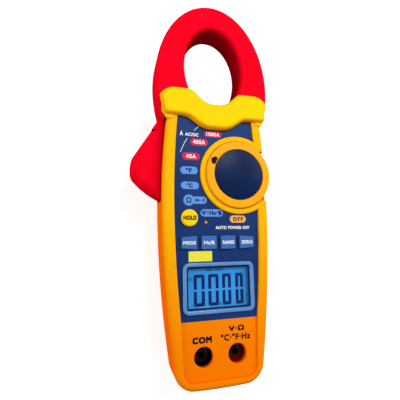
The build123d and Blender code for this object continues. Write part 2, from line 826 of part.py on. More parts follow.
# ---------------------------------------------------------------- dial
def selector_dial():
    dial = disc(dial_x, dial_y, dial_radius, dial_back_level, dial_level)
    dial = fillet(edges_at(dial, dial_level), dial_edge_radius)
    dial += disc(dial_x, dial_y, dial_hub_radius, rotor_top_level, dial_level - cap_depth - 1)
    dial -= disc(dial_x, dial_y, cap_radius + cap_groove, dial_level - cap_depth, dial_level + 1)
    dial -= disc(dial_x, dial_y, screw_radius, 0, rotor_screw_level + dial_screw_length)
    return dial - prism(pointer_face(), dial_level - 1, dial_level + 1)


def dial_cap():
    """Domed disc set in the dial."""
    seat = dial_level - cap_depth
    edge = dial_level + 0.2
    rise = cap_rise - 0.2
    sphere_radius = (cap_radius ** 2 + rise ** 2) / (2 * rise)
    dome = Pos(dial_x, dial_y, edge + rise - sphere_radius) * Sphere(sphere_radius)
    return disc(dial_x, dial_y, cap_radius, seat, edge + rise) & (
        dome + disc(dial_x, dial_y, cap_radius, seat, edge))


def pointer_face():
    """Pentagon that points outwards from the cap, drawn at the dial's rest angle."""
    inner, half = cap_radius + cap_groove + 0.4, pointer_width / 2
    shoulder = (inner + pointer_tip_radius) / 2
    corners = [(inner, -half * 0.8, 0.4), (shoulder, -half, 0.8), (pointer_tip_radius, 0, 0.8),
               (shoulder, half, 0.8), (inner, half * 0.8, 0.4)]
    return Pos(dial_x, dial_y) * Rot(0, 0, dial_rest_angle) * rounded_polygon(corners)


def dial_pointer():
    return prism(pointer_face(), dial_level - 1, dial_level + pointer_rise)


def contact_rotor():
    """Plate that turns with the dial under the well, notched for its click positions."""
    rotor = disc(dial_x, dial_y, rotor_radius, rotor_top_level - rotor_thickness, rotor_top_level)
    notch = disc(rotor_radius + 0.3, 0, rotor_notch_radius, 0, rotor_top_level + 1)
    for i in range(rotor_notches):
        angle = detent_angle + 360 / rotor_notches * i
        rotor -= Pos(dial_x, dial_y) * Rot(0, 0, angle) * notch
    rotor -= disc(dial_x, dial_y, screw_head_radius + 0.3, 0, rotor_screw_level)
    return rotor - disc(dial_x, dial_y, screw_radius, 0, rotor_top_level + 1)


def wiper_contacts():
    """Three sprung fingers under the rotor that bridge the board's tracks."""
    low, high = board_face + running_gap, rotor_top_level - rotor_thickness
    fingers = []
    for radius in wiper_radii:
        place = Pos(dial_x, dial_y, low) * Rot(0, 0, dial_rest_angle) * Pos(radius, 0)
        fingers.append(place * Box(wiper_width, wiper_length, high - low, align=floor_side))
    return fingers


def dial_screw():
    """Screw that draws the rotor up against the dial's hub."""
    return screw(dial_x, dial_y, rotor_screw_level, dial_screw_length, screw_radius,
                 screw_head_radius, dial_screw_head_height)


def detent_spring():
    """Leaf fixed under the well whose nose stands in line with the rotor's notches."""
    low, high = rotor_top_level - rotor_thickness + 0.5, rotor_top_level - 0.5
    nose_x = rotor_radius + 0.1 + detent_nose_radius
    leaf_x = nose_x + 0.2
    back_x = leaf_x + detent_leaf_thickness
    leaf = block(leaf_x, back_x, -detent_leaf_half, detent_leaf_half, low, high)
    nose = disc(nose_x, 0, detent_nose_radius, low, high)
    leaf += nose & block(0, back_x, -2, 2, low, high)
    for side in (-1, 1):
        middle = side * (detent_leaf_half - 1)
        leaf += block(leaf_x, leaf_x + 2, middle - 1, middle + 1, low, well_floor_level)
    return Pos(dial_x, dial_y) * Rot(0, 0, detent_angle) * leaf


# ---------------------------------------------------------------- jaws
def ring_face(outer_inset=0.0, inner_inset=0.0):
    outer = Ellipse(ring_half_width - outer_inset, ring_half_height - outer_inset)
    inner = Ellipse(opening_half_width + inner_inset, opening_half_height + inner_inset)
    return Pos(0, ring_y) * outer - Pos(0, opening_y) * inner


def core_face(grow=0.0):
    """Oval of the magnetic core, struck round the opening."""
    near, far = core_inner_inset - grow, core_inner_inset + core_width + grow
    outer = Ellipse(opening_half_width + far, opening_half_height + far)
    return Pos(0, opening_y) * (outer - Ellipse(opening_half_width + near, opening_half_height + near))


def jaw_ring():
    """Whole ring with rounded edges, before it is parted into two jaws."""
    ring = prism(ring_face(), jaw_back_level, jaw_front_level)
    rims = edges_at(ring, jaw_back_level) + edges_at(ring, jaw_front_level)
    return fillet(rims, jaw_edge_radius)


def core_plan(side, grow=0.0):
    """One half of the core's plan, short of the parting faces."""
    start = jaw_split_gap / 2 + core_end_wall - grow
    low, high = sorted((side * start, side * reach))
    plan = core_face(grow) & half_plane(low, high, 0, 4 * reach)
    return plan - Pos(pivot_x, pivot_y) * Circle(bush_radius + core_seat_wall - grow)


def jaw_core(side):
    plan = core_plan(side)
    if side > 0:
        end = sensor_x + sensor_thickness + sensor_gap
        plan -= half_plane(0, end, 0, opening_y)
    return prism(plan, core_level, core_level + core_thickness)


def field_sensor():
    """Plate that fills the break between the fixed core's lower end and the parting face."""
    middle_y = opening_y - opening_half_height - core_inner_inset - core_width / 2
    middle_level = core_level + core_thickness / 2
    place = Pos(sensor_x + sensor_thickness / 2, middle_y, middle_level)
    return place * Box(sensor_thickness, sensor_width, sensor_height)


def lead_along_y(x, level, radius, low_y, high_y):
    return Pos(x, low_y, level) * Rot(-90, 0, 0) * Cylinder(radius, high_y - low_y, align=floor_side)


def sensor_low_y():
    return opening_y - opening_half_height - core_inner_inset - (core_width + sensor_width) / 2


def sensor_lead():
    """Lead that runs from the sensor out of the jaw's tail to the underside of the board."""
    return lead_along_y(sensor_lead_x, sensor_lead_level, sensor_lead_radius,
                        sensor_lead_end_y, sensor_low_y())


def lid_holes(positions):
    """Holes and head seats for the screws that close a jaw's shells."""
    holes = []
    for x, y in positions:
        holes.append(disc(x, y, screw_radius, 0, lid_head_level + lid_screw_length + 0.2))
        holes.append(disc(x, y, screw_head_radius + 0.3, 0, lid_head_level))
    return holes


def fixed_jaw():
    """Right-hand jaw, whose tail is held between the casing halves."""
    jaw = jaw_ring() & block(jaw_split_gap / 2, reach, jaw_tail_y, 4 * reach, 0, 2 * reach)
    tail = block(-1, 2 * reach, 0, guard_seat_y + jaw_clearance, 0, 2 * reach)
    jaw -= tail - prism(casing_face(wall + jaw_clearance), 0, tail_front_level)
    jaw -= prism(core_plan(1, core_gap), jaw_shell_joint, core_level + core_thickness + core_gap)
    for x, y in jaw_screw_positions:
        jaw -= disc(x, y, screw_radius, 0, jaw_back_level + screw_bite + 0.2)
    for hole in lid_holes(fixed_lid_screw_positions):
        jaw -= hole
    return jaw - lead_along_y(sensor_lead_x, sensor_lead_level, sensor_lead_radius + core_gap,
                              jaw_tail_y - 1, sensor_low_y() + 1)


def trigger_face():
    """Plan of the trigger: straight back, blunt nose, and an underside struck from the pivot."""
    slope = (trigger_top_y - trigger_shoulder_y) / (trigger_top_x - trigger_shoulder_x)
    nose_y = trigger_shoulder_y + (trigger_tip_x - trigger_shoulder_x) * slope
    corners = [(trigger_inner_x, 0), (trigger_inner_x, trigger_root_y),
               (trigger_root_x, trigger_top_y), (trigger_top_x, trigger_top_y),
               (trigger_tip_x, nose_y), (trigger_tip_x, 0)]
    plan = make_face(Polyline(*corners, close=True))
    plan &= Pos(pivot_x, pivot_y) * Circle(trigger_sole_radius)
    nose = [v for v in plan.vertices() if v.X < trigger_tip_x + 0.1]
    return fillet(nose, trigger_nose_radius)


def trigger():
    """Finger lever moulded on the moving jaw, with a ramp up to the jaw's front."""
    face = trigger_face()
    arm = prism(face, trigger_back_level, trigger_front_level)
    rims = edges_at(arm, trigger_back_level) + edges_at(arm, trigger_front_level)
    arm = fillet([e for e in rims if (e @ 0.5).X < trigger_inner_x - 1], trigger_edge_radius)
    arm -= block(-reach, 0, trigger_back_top_y, 2 * reach, 0, jaw_back_level)
    side = [(trigger_ramp_low_y, trigger_front_level), (trigger_ramp_high_y, tail_front_level),
            (trigger_top_y, tail_front_level), (trigger_top_y, trigger_front_level - 3),
            (trigger_ramp_low_y, trigger_front_level - 3)]
    wedge = extrude(Plane.YZ.offset(-reach) * make_face(Polyline(*side, close=True)), amount=reach)
    return arm + (wedge & prism(face, 0, reach))


def corner_sweep():
    """Pie that the casing's top left corner sweeps over the jaw as the jaw opens."""
    arcs = (casing_half_width, flank_radius_lower, flank_radius_upper)
    out_x = -flank(guard_seat_y, *arcs) - jaw_clearance - pivot_x
    out_y = guard_seat_y + jaw_clearance - pivot_y
    start = math.degrees(math.atan2(out_y, out_x)) - jaw_opening_angle
    rim = CenterArc((pivot_x, pivot_y), math.hypot(out_x, out_y), start, jaw_opening_angle)
    sides = [Line((pivot_x, pivot_y), rim @ 0), Line(rim @ 1, (pivot_x, pivot_y))]
    return make_face([rim] + sides)


def moving_jaw():
    """Left-hand jaw with its hub on the pivot and its trigger."""
    plan = half_plane(-reach, pivot_x, jaw_root_y, 4 * reach)
    plan += half_plane(pivot_x - 1, -jaw_split_gap / 2, pivot_y, 4 * reach)
    jaw = jaw_ring() & prism(plan, 0, reach)
    jaw += disc(pivot_x, pivot_y, hub_radius, jaw_back_level, tail_front_level)
    jaw += trigger()
    skin = casing_face(-jaw_clearance) & half_plane(-reach, reach, 0, guard_seat_y + jaw_clearance)
    skin = prism(skin, tail_front_level, reach)
    for i in range(jaw_sweep_steps + 1):
        jaw -= turned(skin, -jaw_opening_angle * i / jaw_sweep_steps)
    jaw -= prism(corner_sweep(), tail_front_level, reach)
    jaw -= disc(pivot_x, pivot_y, pivot_pin_radius + wall + jaw_clearance, hub_front_level, reach)
    jaw -= disc(pivot_x, pivot_y, bush_radius, 0, reach)
    jaw -= prism(core_plan(-1, core_gap), jaw_shell_joint, core_level + core_thickness + core_gap)
    for hole in lid_holes(moving_lid_screw_positions):
        jaw -= hole
    return jaw


def lid_zone():
    """Where a jaw's back shell lies: outside the casing, and under the core."""
    far = core_inner_inset + core_width + core_gap + jaw_lid_lap
    cover = Pos(0, opening_y) * Ellipse(opening_half_width + far, opening_half_height + far)
    face = half_plane(-reach, reach, guard_seat_y + jaw_clearance, 4 * reach) + cover
    return prism(face, 0, jaw_shell_joint)


def pivot_bush():
    outer = disc(pivot_x, pivot_y, bush_radius, jaw_back_level, hub_front_level)
    return outer - disc(pivot_x, pivot_y, pivot_pin_radius + running_gap, 0, reach)


def pivot_pin():
    pin = disc(pivot_x, pivot_y, pivot_pin_radius, pin_low_level, pin_top_level)
    return chamfer(edges_at(pin, pin_low_level) + edges_at(pin, pin_top_level), pin_chamfer)


def return_spring():
    """Torsion spring round the rear boss: one leg on the casing's rib, one on the trigger."""
    turn = 2 * math.pi * spring_coil_radius
    climb = spring_pitch / turn
    turns = spring_whole_turns + spring_leave_angle / 360
    coil = Helix(spring_pitch, turns * spring_pitch, spring_coil_radius)
    coil = Pos(pivot_x, pivot_y, spring_level) * coil
    start, finish = coil @ 0, coil @ 1
    foot = start - Vector(0, spring_fixed_leg, spring_fixed_leg * climb)
    angle = math.radians(spring_leave_angle)
    way = Vector(-math.sin(angle), math.cos(angle), climb)
    bearing_x = trigger_inner_x + spring_wire_radius + running_gap
    leg = (bearing_x - finish.X) / way.X
    path = Wire([Edge.make_line(foot, start)] + list(coil.edges()) + [
        Edge.make_line(finish, finish + way * leg)])
    section = Plane(foot, z_dir=start - foot) * Circle(spring_wire_radius)
    return sweep(section, path=path)


# ---------------------------------------------------------------- battery and its cover
def battery_pack():
    size = (battery_width, battery_length, battery_depth)
    middle_y = battery_bottom_y + battery_length / 2
    case = Pos(0, middle_y, battery_level) * Box(*size, align=floor_side)
    return fillet(case.edges().filter_by(Axis.Y), battery_edge_radius)


def battery_terminals():
    y = battery_bottom_y + battery_length
    return [lead_along_y(side * terminal_spacing / 2, lead_level, terminal_radius,
                         y, y + terminal_height) for side in (-1, 1)]


def battery_snap():
    y = battery_bottom_y + battery_length + terminal_height
    half_width, half_height = snap_width / 2, snap_height / 2
    return block(-half_width, half_width, y, y + snap_length,
                 lead_level - half_height, lead_level + half_height)


def battery_leads():
    """Two leads from the snap, through the bay's wall and up to the board."""
    start_y = battery_bottom_y + battery_length + terminal_height + snap_length
    leads = []
    for side in (-1, 1):
        x = side * lead_spacing / 2
        points = [(x, start_y, lead_level), (x, lead_turn_y, lead_level), (x, lead_turn_y, board_level)]
        path = FilletPolyline(*points, radius=lead_bend_radius)
        section = Plane(path @ 0, z_dir=path % 0) * Circle(lead_radius)
        leads.append(sweep(section, path=path))
    return leads


def battery_cover():
    face = Pos(0, cover_middle_y) * RectangleRounded(cover_width, cover_length, cover_corner_radius)
    cover = prism(face, cover_recess, cover_top_level)
    cover = chamfer(edges_at(cover, cover_recess), cover_chamfer)
    for y in cover_screw_rows:
        cover += disc(0, y, cover_boss_radius, cover_recess + 0.5, cover_boss_level - 0.1)
        cover -= disc(0, y, screw_head_radius + 0.3, -1, cover_head_level)
        cover -= disc(0, y, screw_radius + screw_hole_gap, -1, cover_boss_level + 1)
    return cover


# ---------------------------------------------------------------- nodes
def standard_screws(positions, head_level, tip_level):
    """Casing screws of one length at several places."""
    return [screw(x, y, head_level, tip_level - head_level, screw_radius, screw_head_radius,
                  screw_head_height) for x, y in positions]


def board_screws():
    return [screw(x, y, board_level, board_screw_length, board_screw_radius,
                  board_screw_head_radius, board_screw_head_height) for x, y in board_post_positions]


def build():
    """Every node by name; a list is a node of several separate solids."""
    moving, fixed, lids = moving_jaw(), fixed_jaw(), lid_zone()
    nodes = {
        "front_casing": front_casing(),
        "rear_casing": rear_casing(),
        "face_panel": printed_panel(),
        "display_bezel": bezel(),
        "display_window": window(),
        "lcd_glass": display_glass(),
        "backlight_panel": backlight(),
        "lcd_contact_strips": contact_strips(),
        "lcd_holder": display_holder(),
        "main_board": main_board(),
        "board_chips": board_chips(),
        "board_capacitors": capacitors(),
        "buzzer": buzzer(),
        "ptc_thermistor": thermistor(),
        "key_switches": key_switches(),
        "indicator_led": indicator_lamp(),
        "board_screws": board_screws(),
        "battery": battery_pack(),
        "battery_terminals": battery_terminals(),
        "battery_snap": battery_snap(),
        "battery_leads": battery_leads(),
        "battery_cover": battery_cover(),
        "battery_cover_screws": standard_screws([(0, y) for y in cover_screw_rows],
                                                cover_head_level, cover_screw_top),
        "case_screws": standard_screws(post_positions, case_head_level, split_level + screw_bite),
        "jaw_mount_screws": standard_screws(jaw_screw_positions, jaw_head_level,
                                            jaw_back_level + screw_bite),
        "fixed_jaw_front": fixed - lids,
        "fixed_jaw_back": fixed & lids,
        "fixed_jaw_core": jaw_core(1),
        "fixed_lid_screw": standard_screws(fixed_lid_screw_positions, lid_head_level,
                                           lid_head_level + lid_screw_length),
        "hall_sensor": field_sensor(),
        "sensor_lead": sensor_lead(),
        "moving_jaw_front": moving - lids,
        "moving_jaw_back": moving & lids,
        "moving_jaw_core": jaw_core(-1),
        "moving_lid_screws": standard_screws(moving_lid_screw_positions, lid_head_level,
                                             lid_head_level + lid_screw_length),
        "pivot_bush": pivot_bush(),
        "jaw_pivot_pin": pivot_pin(),
        "jaw_return_spring": return_spring(),
        "selector_dial": selector_dial(),
        "dial_cap": dial_cap(),
        "dial_pointer": dial_pointer(),
        "contact_rotor": contact_rotor(),
        "wiper_contacts": wiper_contacts(),
        "dial_screw": dial_screw(),
        "detent_spring": detent_spring(),
        "hold_key": hold_key(),
    }
    for name, x in (("com", -socket_x), ("volt", socket_x)):
        nodes[name + "_socket_sleeve"] = socket_sleeve(x)
        nodes[name + "_contact"] = socket_contact(x)
    for name, x in zip(("mode", "hertz", "range", "zero"), key_positions()):
        nodes[name + "_key"] = row_key(x)
    return nodes


if __name__ == "__main__":
    os.makedirs("parts", exist_ok=True)
    for name, shape in build().items():
        node = Compound(children=shape) if isinstance(shape, list) else shape
        export_step(node, f"parts/{name}.step")
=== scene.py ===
import json
import math

import bpy
from mathutils import Matrix, Vector


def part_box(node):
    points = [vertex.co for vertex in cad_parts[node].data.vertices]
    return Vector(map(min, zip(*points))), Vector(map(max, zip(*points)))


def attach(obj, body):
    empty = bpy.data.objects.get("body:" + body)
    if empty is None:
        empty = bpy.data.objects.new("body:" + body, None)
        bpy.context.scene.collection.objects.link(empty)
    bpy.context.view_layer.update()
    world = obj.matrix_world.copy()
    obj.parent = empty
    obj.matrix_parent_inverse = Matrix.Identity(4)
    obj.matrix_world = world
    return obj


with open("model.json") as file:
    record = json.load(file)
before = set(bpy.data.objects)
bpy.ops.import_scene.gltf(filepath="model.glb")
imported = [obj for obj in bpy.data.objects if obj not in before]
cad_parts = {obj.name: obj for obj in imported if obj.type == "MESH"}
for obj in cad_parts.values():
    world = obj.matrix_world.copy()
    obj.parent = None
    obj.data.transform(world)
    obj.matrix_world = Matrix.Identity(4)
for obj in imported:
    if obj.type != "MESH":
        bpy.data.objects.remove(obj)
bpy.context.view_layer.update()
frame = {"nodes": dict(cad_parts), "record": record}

mm = 0.001
record = frame["record"]
cadNodes = frame["nodes"]


def linearColour(hexColour):
    # sRGB hex to the linear colour that Blender's sockets take
    parts = [int(hexColour[i:i + 2], 16) / 255 for i in (1, 3, 5)]
    return tuple(c / 12.92 if c <= 0.04045 else ((c + 0.055) / 1.055) ** 2.4 for c in parts) + (1.0,)


def addNode(tree, kind, settings=None, inputs=None):
    # adds a node, sets its options, and sets or links its inputs by name or number
    node = tree.nodes.new(kind)
    for option, value in (settings or {}).items():
        setattr(node, option, value)
    for socket, value in (inputs or {}).items():
        if isinstance(value, bpy.types.NodeSocket):
            tree.links.new(value, node.inputs[socket])
        else:
            node.inputs[socket].default_value = value
    return node


def startMaterial(name):
    material = bpy.data.materials.new(name)
    material.use_nodes = True
    tree = material.node_tree
    return material, tree, tree.nodes["Principled BSDF"]


def deselectAll():
    if bpy.context.object and bpy.context.object.mode != "OBJECT":
        bpy.ops.object.mode_set(mode="OBJECT")
    bpy.ops.object.select_all(action="DESELECT")


def placeMesh(piece, matrix):
    # puts the place into the mesh, so that the object stays at the origin
    piece.data.transform(matrix)
    piece.matrix_world = Matrix.Identity(4)


def joinPieces(pieces, name):
    deselectAll()
    for piece in pieces:
        piece.select_set(True)
    bpy.context.view_layer.objects.active = pieces[0]
    if len(pieces) > 1:
        bpy.ops.object.join()
    joined = bpy.context.object
    joined.name = name
    joined.data.name = name
    return joined


def finishPiece(piece, material, body):
    piece.data.materials.clear()
    piece.data.materials.append(material)
    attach(piece, body)


# What every moulding here shares: a spark-eroded mould leaves a fine even grain that softens the
# gloss, and a painted shade darkens the plastic towards a dark tint in its crevices, where it sees
# less of the sky. The real grain is about 0.05 mm and is drawn coarser, so that it shows. "shut" and
# "open" are how much of the sky a point sees where it counts as fully tucked away and as open
mouldLook = {"grainDeepMm": 0.05, "smoother": 0.06, "rougher": 0.08, "bump": 0.2, "ior": 1.53,
             "shine": 0.05, "shut": 0.15, "open": 0.9, "creviceSamples": 6}


def mouldedSkin(tree, shader, place, tint, look):
    look = {**mouldLook, **look}  # a plastic's own values go before the shared ones
    # painted shade: where a point sees little of the sky, its colour is darkened towards the dark tint
    crevice = addNode(tree, "ShaderNodeAmbientOcclusion", {"samples": look["creviceSamples"]},
                      {"Distance": look["creviceMm"] * mm})
    shadeAmount = addNode(tree, "ShaderNodeMapRange", None,
                    {"Value": crevice.outputs["AO"], "From Min": look["shut"], "From Max": look["open"],
                     "To Min": look["shadeStrength"], "To Max": 0.0})
    colour = addNode(tree, "ShaderNodeMix", {"data_type": "RGBA"},
                     {0: shadeAmount.outputs["Result"], 6: tint, 7: linearColour(look["shadeTint"])})
    grain = addNode(tree, "ShaderNodeTexNoise", None,
                    {"Vector": place, "Scale": 1 / (look["grainMm"] * mm), "Detail": 3.0})
    gloss = addNode(tree, "ShaderNodeMapRange", None,
                    {"Value": grain.outputs["Fac"], "To Min": look["roughness"] - look["smoother"],
                     "To Max": look["roughness"] + look["rougher"]})
    bump = addNode(tree, "ShaderNodeBump", None,
                   {"Height": grain.outputs["Fac"], "Strength": look["bump"],
                    "Distance": look["grainDeepMm"] * mm})
    tree.links.new(colour.outputs[2], shader.inputs["Base Color"])
    tree.links.new(gloss.outputs["Result"], shader.inputs["Roughness"])
    tree.links.new(bump.outputs["Normal"], shader.inputs["Normal"])
    shader.inputs["IOR"].default_value = look["ior"]
    shader.inputs["Specular IOR Level"].default_value = look["shine"]


# A plastic of one colour, whose tint drifts a little along the moulding
def mouldedPlastic(name, look):
    material, tree, shader = startMaterial(name)
    place = addNode(tree, "ShaderNodeTexCoord").outputs["Object"]
    drift = addNode(tree, "ShaderNodeTexNoise", None,
                    {"Vector": place, "Scale": 1 / (look["driftMm"] * mm), "Detail": 2.0})
    tint = addNode(tree, "ShaderNodeMix", {"data_type": "RGBA"},
                   {0: drift.outputs["Fac"], 6: linearColour(look["base"]), 7: linearColour(look["pale"])})
    mouldedSkin(tree, shader, place, tint.outputs[2], look)
    return material


# each plastic also gives the dark tint and the strength of its painted crevice shade
plasticLooks = {
    # red ABS of the jaws and trigger; its painted crevice shade reaches across the jaw's opening and
    # darkens the inner wall as shade
    "jawRedAbs": {"base": "#fb0418", "pale": "#ff0a2c", "shadeTint": "#5c0004", "driftMm": 45.0,
                  "creviceMm": 60.0, "shadeStrength": 0.95, "shut": 0.4, "grainMm": 0.35,
                  "roughness": 0.42, "shine": 0.0},
    # orange ABS of the dial's flange
    "dialOrangeAbs": {"base": "#ffab10", "pale": "#ffb81c", "shadeTint": "#d86a00", "driftMm": 20.0,
                      "creviceMm": 1.5, "shadeStrength": 0.8, "grainMm": 0.35, "roughness": 0.4},
    # polished navy ABS of the dial's cap
    "capNavyAbs": {"base": "#08183c", "pale": "#0e2856", "shadeTint": "#02050c", "driftMm": 14.0,
                   "creviceMm": 1.6, "shadeStrength": 1.0, "grainMm": 0.3, "roughness": 0.3,
                   "bump": 0.1, "shine": 0.06},
    # light blue polycarbonate of the display's bezel
    "bezelBluePolycarbonate": {"base": "#5482c0", "pale": "#6a9ad6", "shadeTint": "#22407e",
                               "driftMm": 12.0, "creviceMm": 1.2, "shadeStrength": 0.6,
                               "grainMm": 0.3, "roughness": 0.16, "bump": 0.05, "shine": 0.4},
    # blue silicone rubber of the keys
    "keyBlueSilicone": {"base": "#3c66a8", "pale": "#4672b6", "shadeTint": "#0c1b3a", "driftMm": 6.0,
                        "creviceMm": 2.4, "shadeStrength": 1.0, "grainMm": 0.25, "roughness": 0.5},
    # yellow silicone rubber of the hold key
    "keyYellowSilicone": {"base": "#ffcf14", "pale": "#ffe02a", "shadeTint": "#d46a00", "driftMm": 6.0,
                          "creviceMm": 2.0, "shadeStrength": 0.9, "grainMm": 0.25, "roughness": 0.42},
    # black nylon of insulating cups, chips and switches
    "blackNylon": {"base": "#101012", "pale": "#18181b", "shadeTint": "#020202", "driftMm": 8.0,
                   "creviceMm": 2.0, "shadeStrength": 0.8, "grainMm": 0.3, "roughness": 0.5},
    # red nylon of the volt socket's cup
    "redNylon": {"base": "#a81612", "pale": "#bc1d16", "shadeTint": "#400404", "driftMm": 8.0,
                 "creviceMm": 4.0, "shadeStrength": 0.8, "grainMm": 0.3, "roughness": 0.4},
    # natural nylon of the display's holder and the rotor
    "naturalNylon": {"base": "#dcd9cc", "pale": "#e6e3d8", "shadeTint": "#8d897a", "driftMm": 10.0,
                     "creviceMm": 2.0, "shadeStrength": 0.7, "grainMm": 0.3, "roughness": 0.45,
                     "bump": 0.15},
    # carbon-filled silicone of the display's contact strips
    "carbonSilicone": {"base": "#1c1c1d", "pale": "#2a2a2b", "shadeTint": "#060606", "driftMm": 2.0,
                       "creviceMm": 1.0, "shadeStrength": 0.6, "grainMm": 0.2, "roughness": 0.6},
    # soft PVC of the inner leads
    "leadPvc": {"base": "#141414", "pale": "#202020", "shadeTint": "#040404", "driftMm": 5.0,
                "creviceMm": 1.0, "shadeStrength": 0.6, "grainMm": 0.3, "roughness": 0.45,
                "bump": 0.15},
    # dipped epoxy of the thermistor
    "dippedEpoxy": {"base": "#20386b", "pale": "#2a4782", "shadeTint": "#0a1430", "driftMm": 3.0,
                    "creviceMm": 1.0, "shadeStrength": 0.6, "grainMm": 0.5, "roughness": 0.35,
                    "bump": 0.3},
    # acrylic light guide behind the display
    "lightGuideAcrylic": {"base": "#4fb4f2", "pale": "#6cc4f6", "shadeTint": "#1c6aa8", "driftMm": 15.0,
                          "creviceMm": 2.0, "shadeStrength": 0.5, "grainMm": 0.3, "roughness": 0.3,
                          "bump": 0.1},
}


# Yellow-orange ABS of the casing, with painted light and shade: the crests of the rails and the guard
# are painted brighter than the walls, as where the light falls on them, the guard's edges are painted
# orange as shade where they lean away from the top, and the plastic is painted a shade deeper towards
# the sockets' end, as light falling off. The Y and Z values are places in millimetres, and "steep" is
# the upward part of the surface's direction at which the guard has its edge's colour
casingLook = {"wall": "#ff6800", "wallHead": "#ff7800", "floor": "#ff8804", "crest": "#ffc012",
              "guard": "#ffd812", "guardEdge": "#ff9000", "steep": 0.55, "shadeTint": "#e04000",
              "footY": -90.0, "headY": 40.0, "wallZ": 40.6, "crestZ": 44.6, "edgeZ": 44.8,
              "guardZ": 47.1, "driftMm": 60.0, "driftDim": 0.96, "driftBright": 1.03,
              "creviceMm": 5.0, "shadeStrength": 0.85, "shut": 0.2, "open": 0.85, "grainMm": 0.4,
              "roughness": 0.42, "shine": 0.0}


def casingAbs():
    look = casingLook
    material, tree, shader = startMaterial("casingOrangeAbs")
    place = addNode(tree, "ShaderNodeTexCoord").outputs["Object"]
    axes = addNode(tree, "ShaderNodeSeparateXYZ", None, {"Vector": place})
    # painted shade: the colour darkens towards the sockets' end, as light falling off away from the top end
    along = addNode(tree, "ShaderNodeMapRange", {"interpolation_type": "SMOOTHSTEP"},
                    {"Value": axes.outputs["Y"], "From Min": look["footY"] * mm,
                     "From Max": look["headY"] * mm})
    # painted light: the crests are brighter and the walls below them darker, as lit and shaded
    up = addNode(tree, "ShaderNodeMapRange", {"interpolation_type": "SMOOTHSTEP"},
                 {"Value": axes.outputs["Z"], "From Min": look["wallZ"] * mm,
                  "From Max": look["crestZ"] * mm})
    top = addNode(tree, "ShaderNodeMapRange", {"interpolation_type": "SMOOTHSTEP"},
                  {"Value": axes.outputs["Z"], "From Min": look["edgeZ"] * mm,
                   "From Max": look["guardZ"] * mm})
    low = addNode(tree, "ShaderNodeMix", {"data_type": "RGBA"},
                  {0: along.outputs["Result"], 6: linearColour(look["wall"]),
                   7: linearColour(look["wallHead"])})
    crest = addNode(tree, "ShaderNodeMix", {"data_type": "RGBA"},
                    {0: along.outputs["Result"], 6: linearColour(look["floor"]),
                     7: linearColour(look["crest"])})
    body = addNode(tree, "ShaderNodeMix", {"data_type": "RGBA"},
                   {0: up.outputs["Result"], 6: low.outputs[2], 7: crest.outputs[2]})
    # painted shade: the guard's edges turn orange where they lean away from the top
    surface = addNode(tree, "ShaderNodeNewGeometry")
    slope = addNode(tree, "ShaderNodeSeparateXYZ", None, {"Vector": surface.outputs["Normal"]})
    flat = addNode(tree, "ShaderNodeMapRange", None,
                   {"Value": slope.outputs["Z"], "From Min": look["steep"], "From Max": 1.0})
    guardLitAndShaded = addNode(tree, "ShaderNodeMix", {"data_type": "RGBA"},
                   {0: flat.outputs["Result"], 6: linearColour(look["guardEdge"]),
                    7: linearColour(look["guard"])})
    guard = addNode(tree, "ShaderNodeMix", {"data_type": "RGBA"},
                    {0: top.outputs["Result"], 6: body.outputs[2], 7: guardLitAndShaded.outputs[2]})
    drift = addNode(tree, "ShaderNodeTexNoise", None,
                    {"Vector": place, "Scale": 1 / (look["driftMm"] * mm), "Detail": 1.0})
    brightness = addNode(tree, "ShaderNodeMapRange", None,
                         {"Value": drift.outputs["Fac"], "To Min": look["driftDim"],
                          "To Max": look["driftBright"]})
    tint = addNode(tree, "ShaderNodeHueSaturation", None,
                   {"Color": guard.outputs[2], "Value": brightness.outputs["Result"]})
    mouldedSkin(tree, shader, place, tint.outputs["Color"], look)
    return material


# Screen-printed polycarbonate film of the face: navy ink under a satin top coat with a fine pebble,
# drawn a few times coarser than the real one, so that it shows
panelLook = {"navy": "#142c5e", "pale": "#1d3f7c", "driftMm": 50.0, "pebbleMm": 0.5,
             "pebbleDeepMm": 0.03, "bump": 0.12, "roughness": 0.42, "ior": 1.58, "shine": 0.05}


def panelFilm():
    look = panelLook
    material, tree, shader = startMaterial("panelNavyFilm")
    place = addNode(tree, "ShaderNodeTexCoord").outputs["Object"]
    drift = addNode(tree, "ShaderNodeTexNoise", None,
                    {"Vector": place, "Scale": 1 / (look["driftMm"] * mm), "Detail": 1.0})
    ink = addNode(tree, "ShaderNodeMix", {"data_type": "RGBA"},
                  {0: drift.outputs["Fac"], 6: linearColour(look["navy"]), 7: linearColour(look["pale"])})
    pebble = addNode(tree, "ShaderNodeTexVoronoi", {"feature": "SMOOTH_F1"},
                     {"Vector": place, "Scale": 1 / (look["pebbleMm"] * mm)})
    bump = addNode(tree, "ShaderNodeBump", None,
                   {"Height": pebble.outputs["Distance"], "Strength": look["bump"],
                    "Distance": look["pebbleDeepMm"] * mm})
    tree.links.new(ink.outputs[2], shader.inputs["Base Color"])
    tree.links.new(bump.outputs["Normal"], shader.inputs["Normal"])
    shader.inputs["Roughness"].default_value = look["roughness"]
    shader.inputs["IOR"].default_value = look["ior"]
    shader.inputs["Specular IOR Level"].default_value = look["shine"]
    return material


# Silk-screen ink: thick, satin, with the faint mottle of the mesh it was pressed through
inkLook = {"mottleMm": 0.6, "thin": 0.86, "roughness": 0.5, "shine": 0.05}
inkColours = {"white": ("whiteInk", "#ffffff"), "black": ("blackInk", "#15110f"),
              "pink": ("pinkInk", "#e4265c"), "blue": ("blueInk", "#669fee"),
              "orange": ("orangeInk", "#fbb95c"), "navy": ("navyInk", "#10285c"),
              "yellow": ("yellowInk", "#f6f04a"), "segment": ("segmentNavy", "#031c66"),
              "faint": ("faintSegment", "#1765ae"), "border": ("borderInk", "#0d2550")}


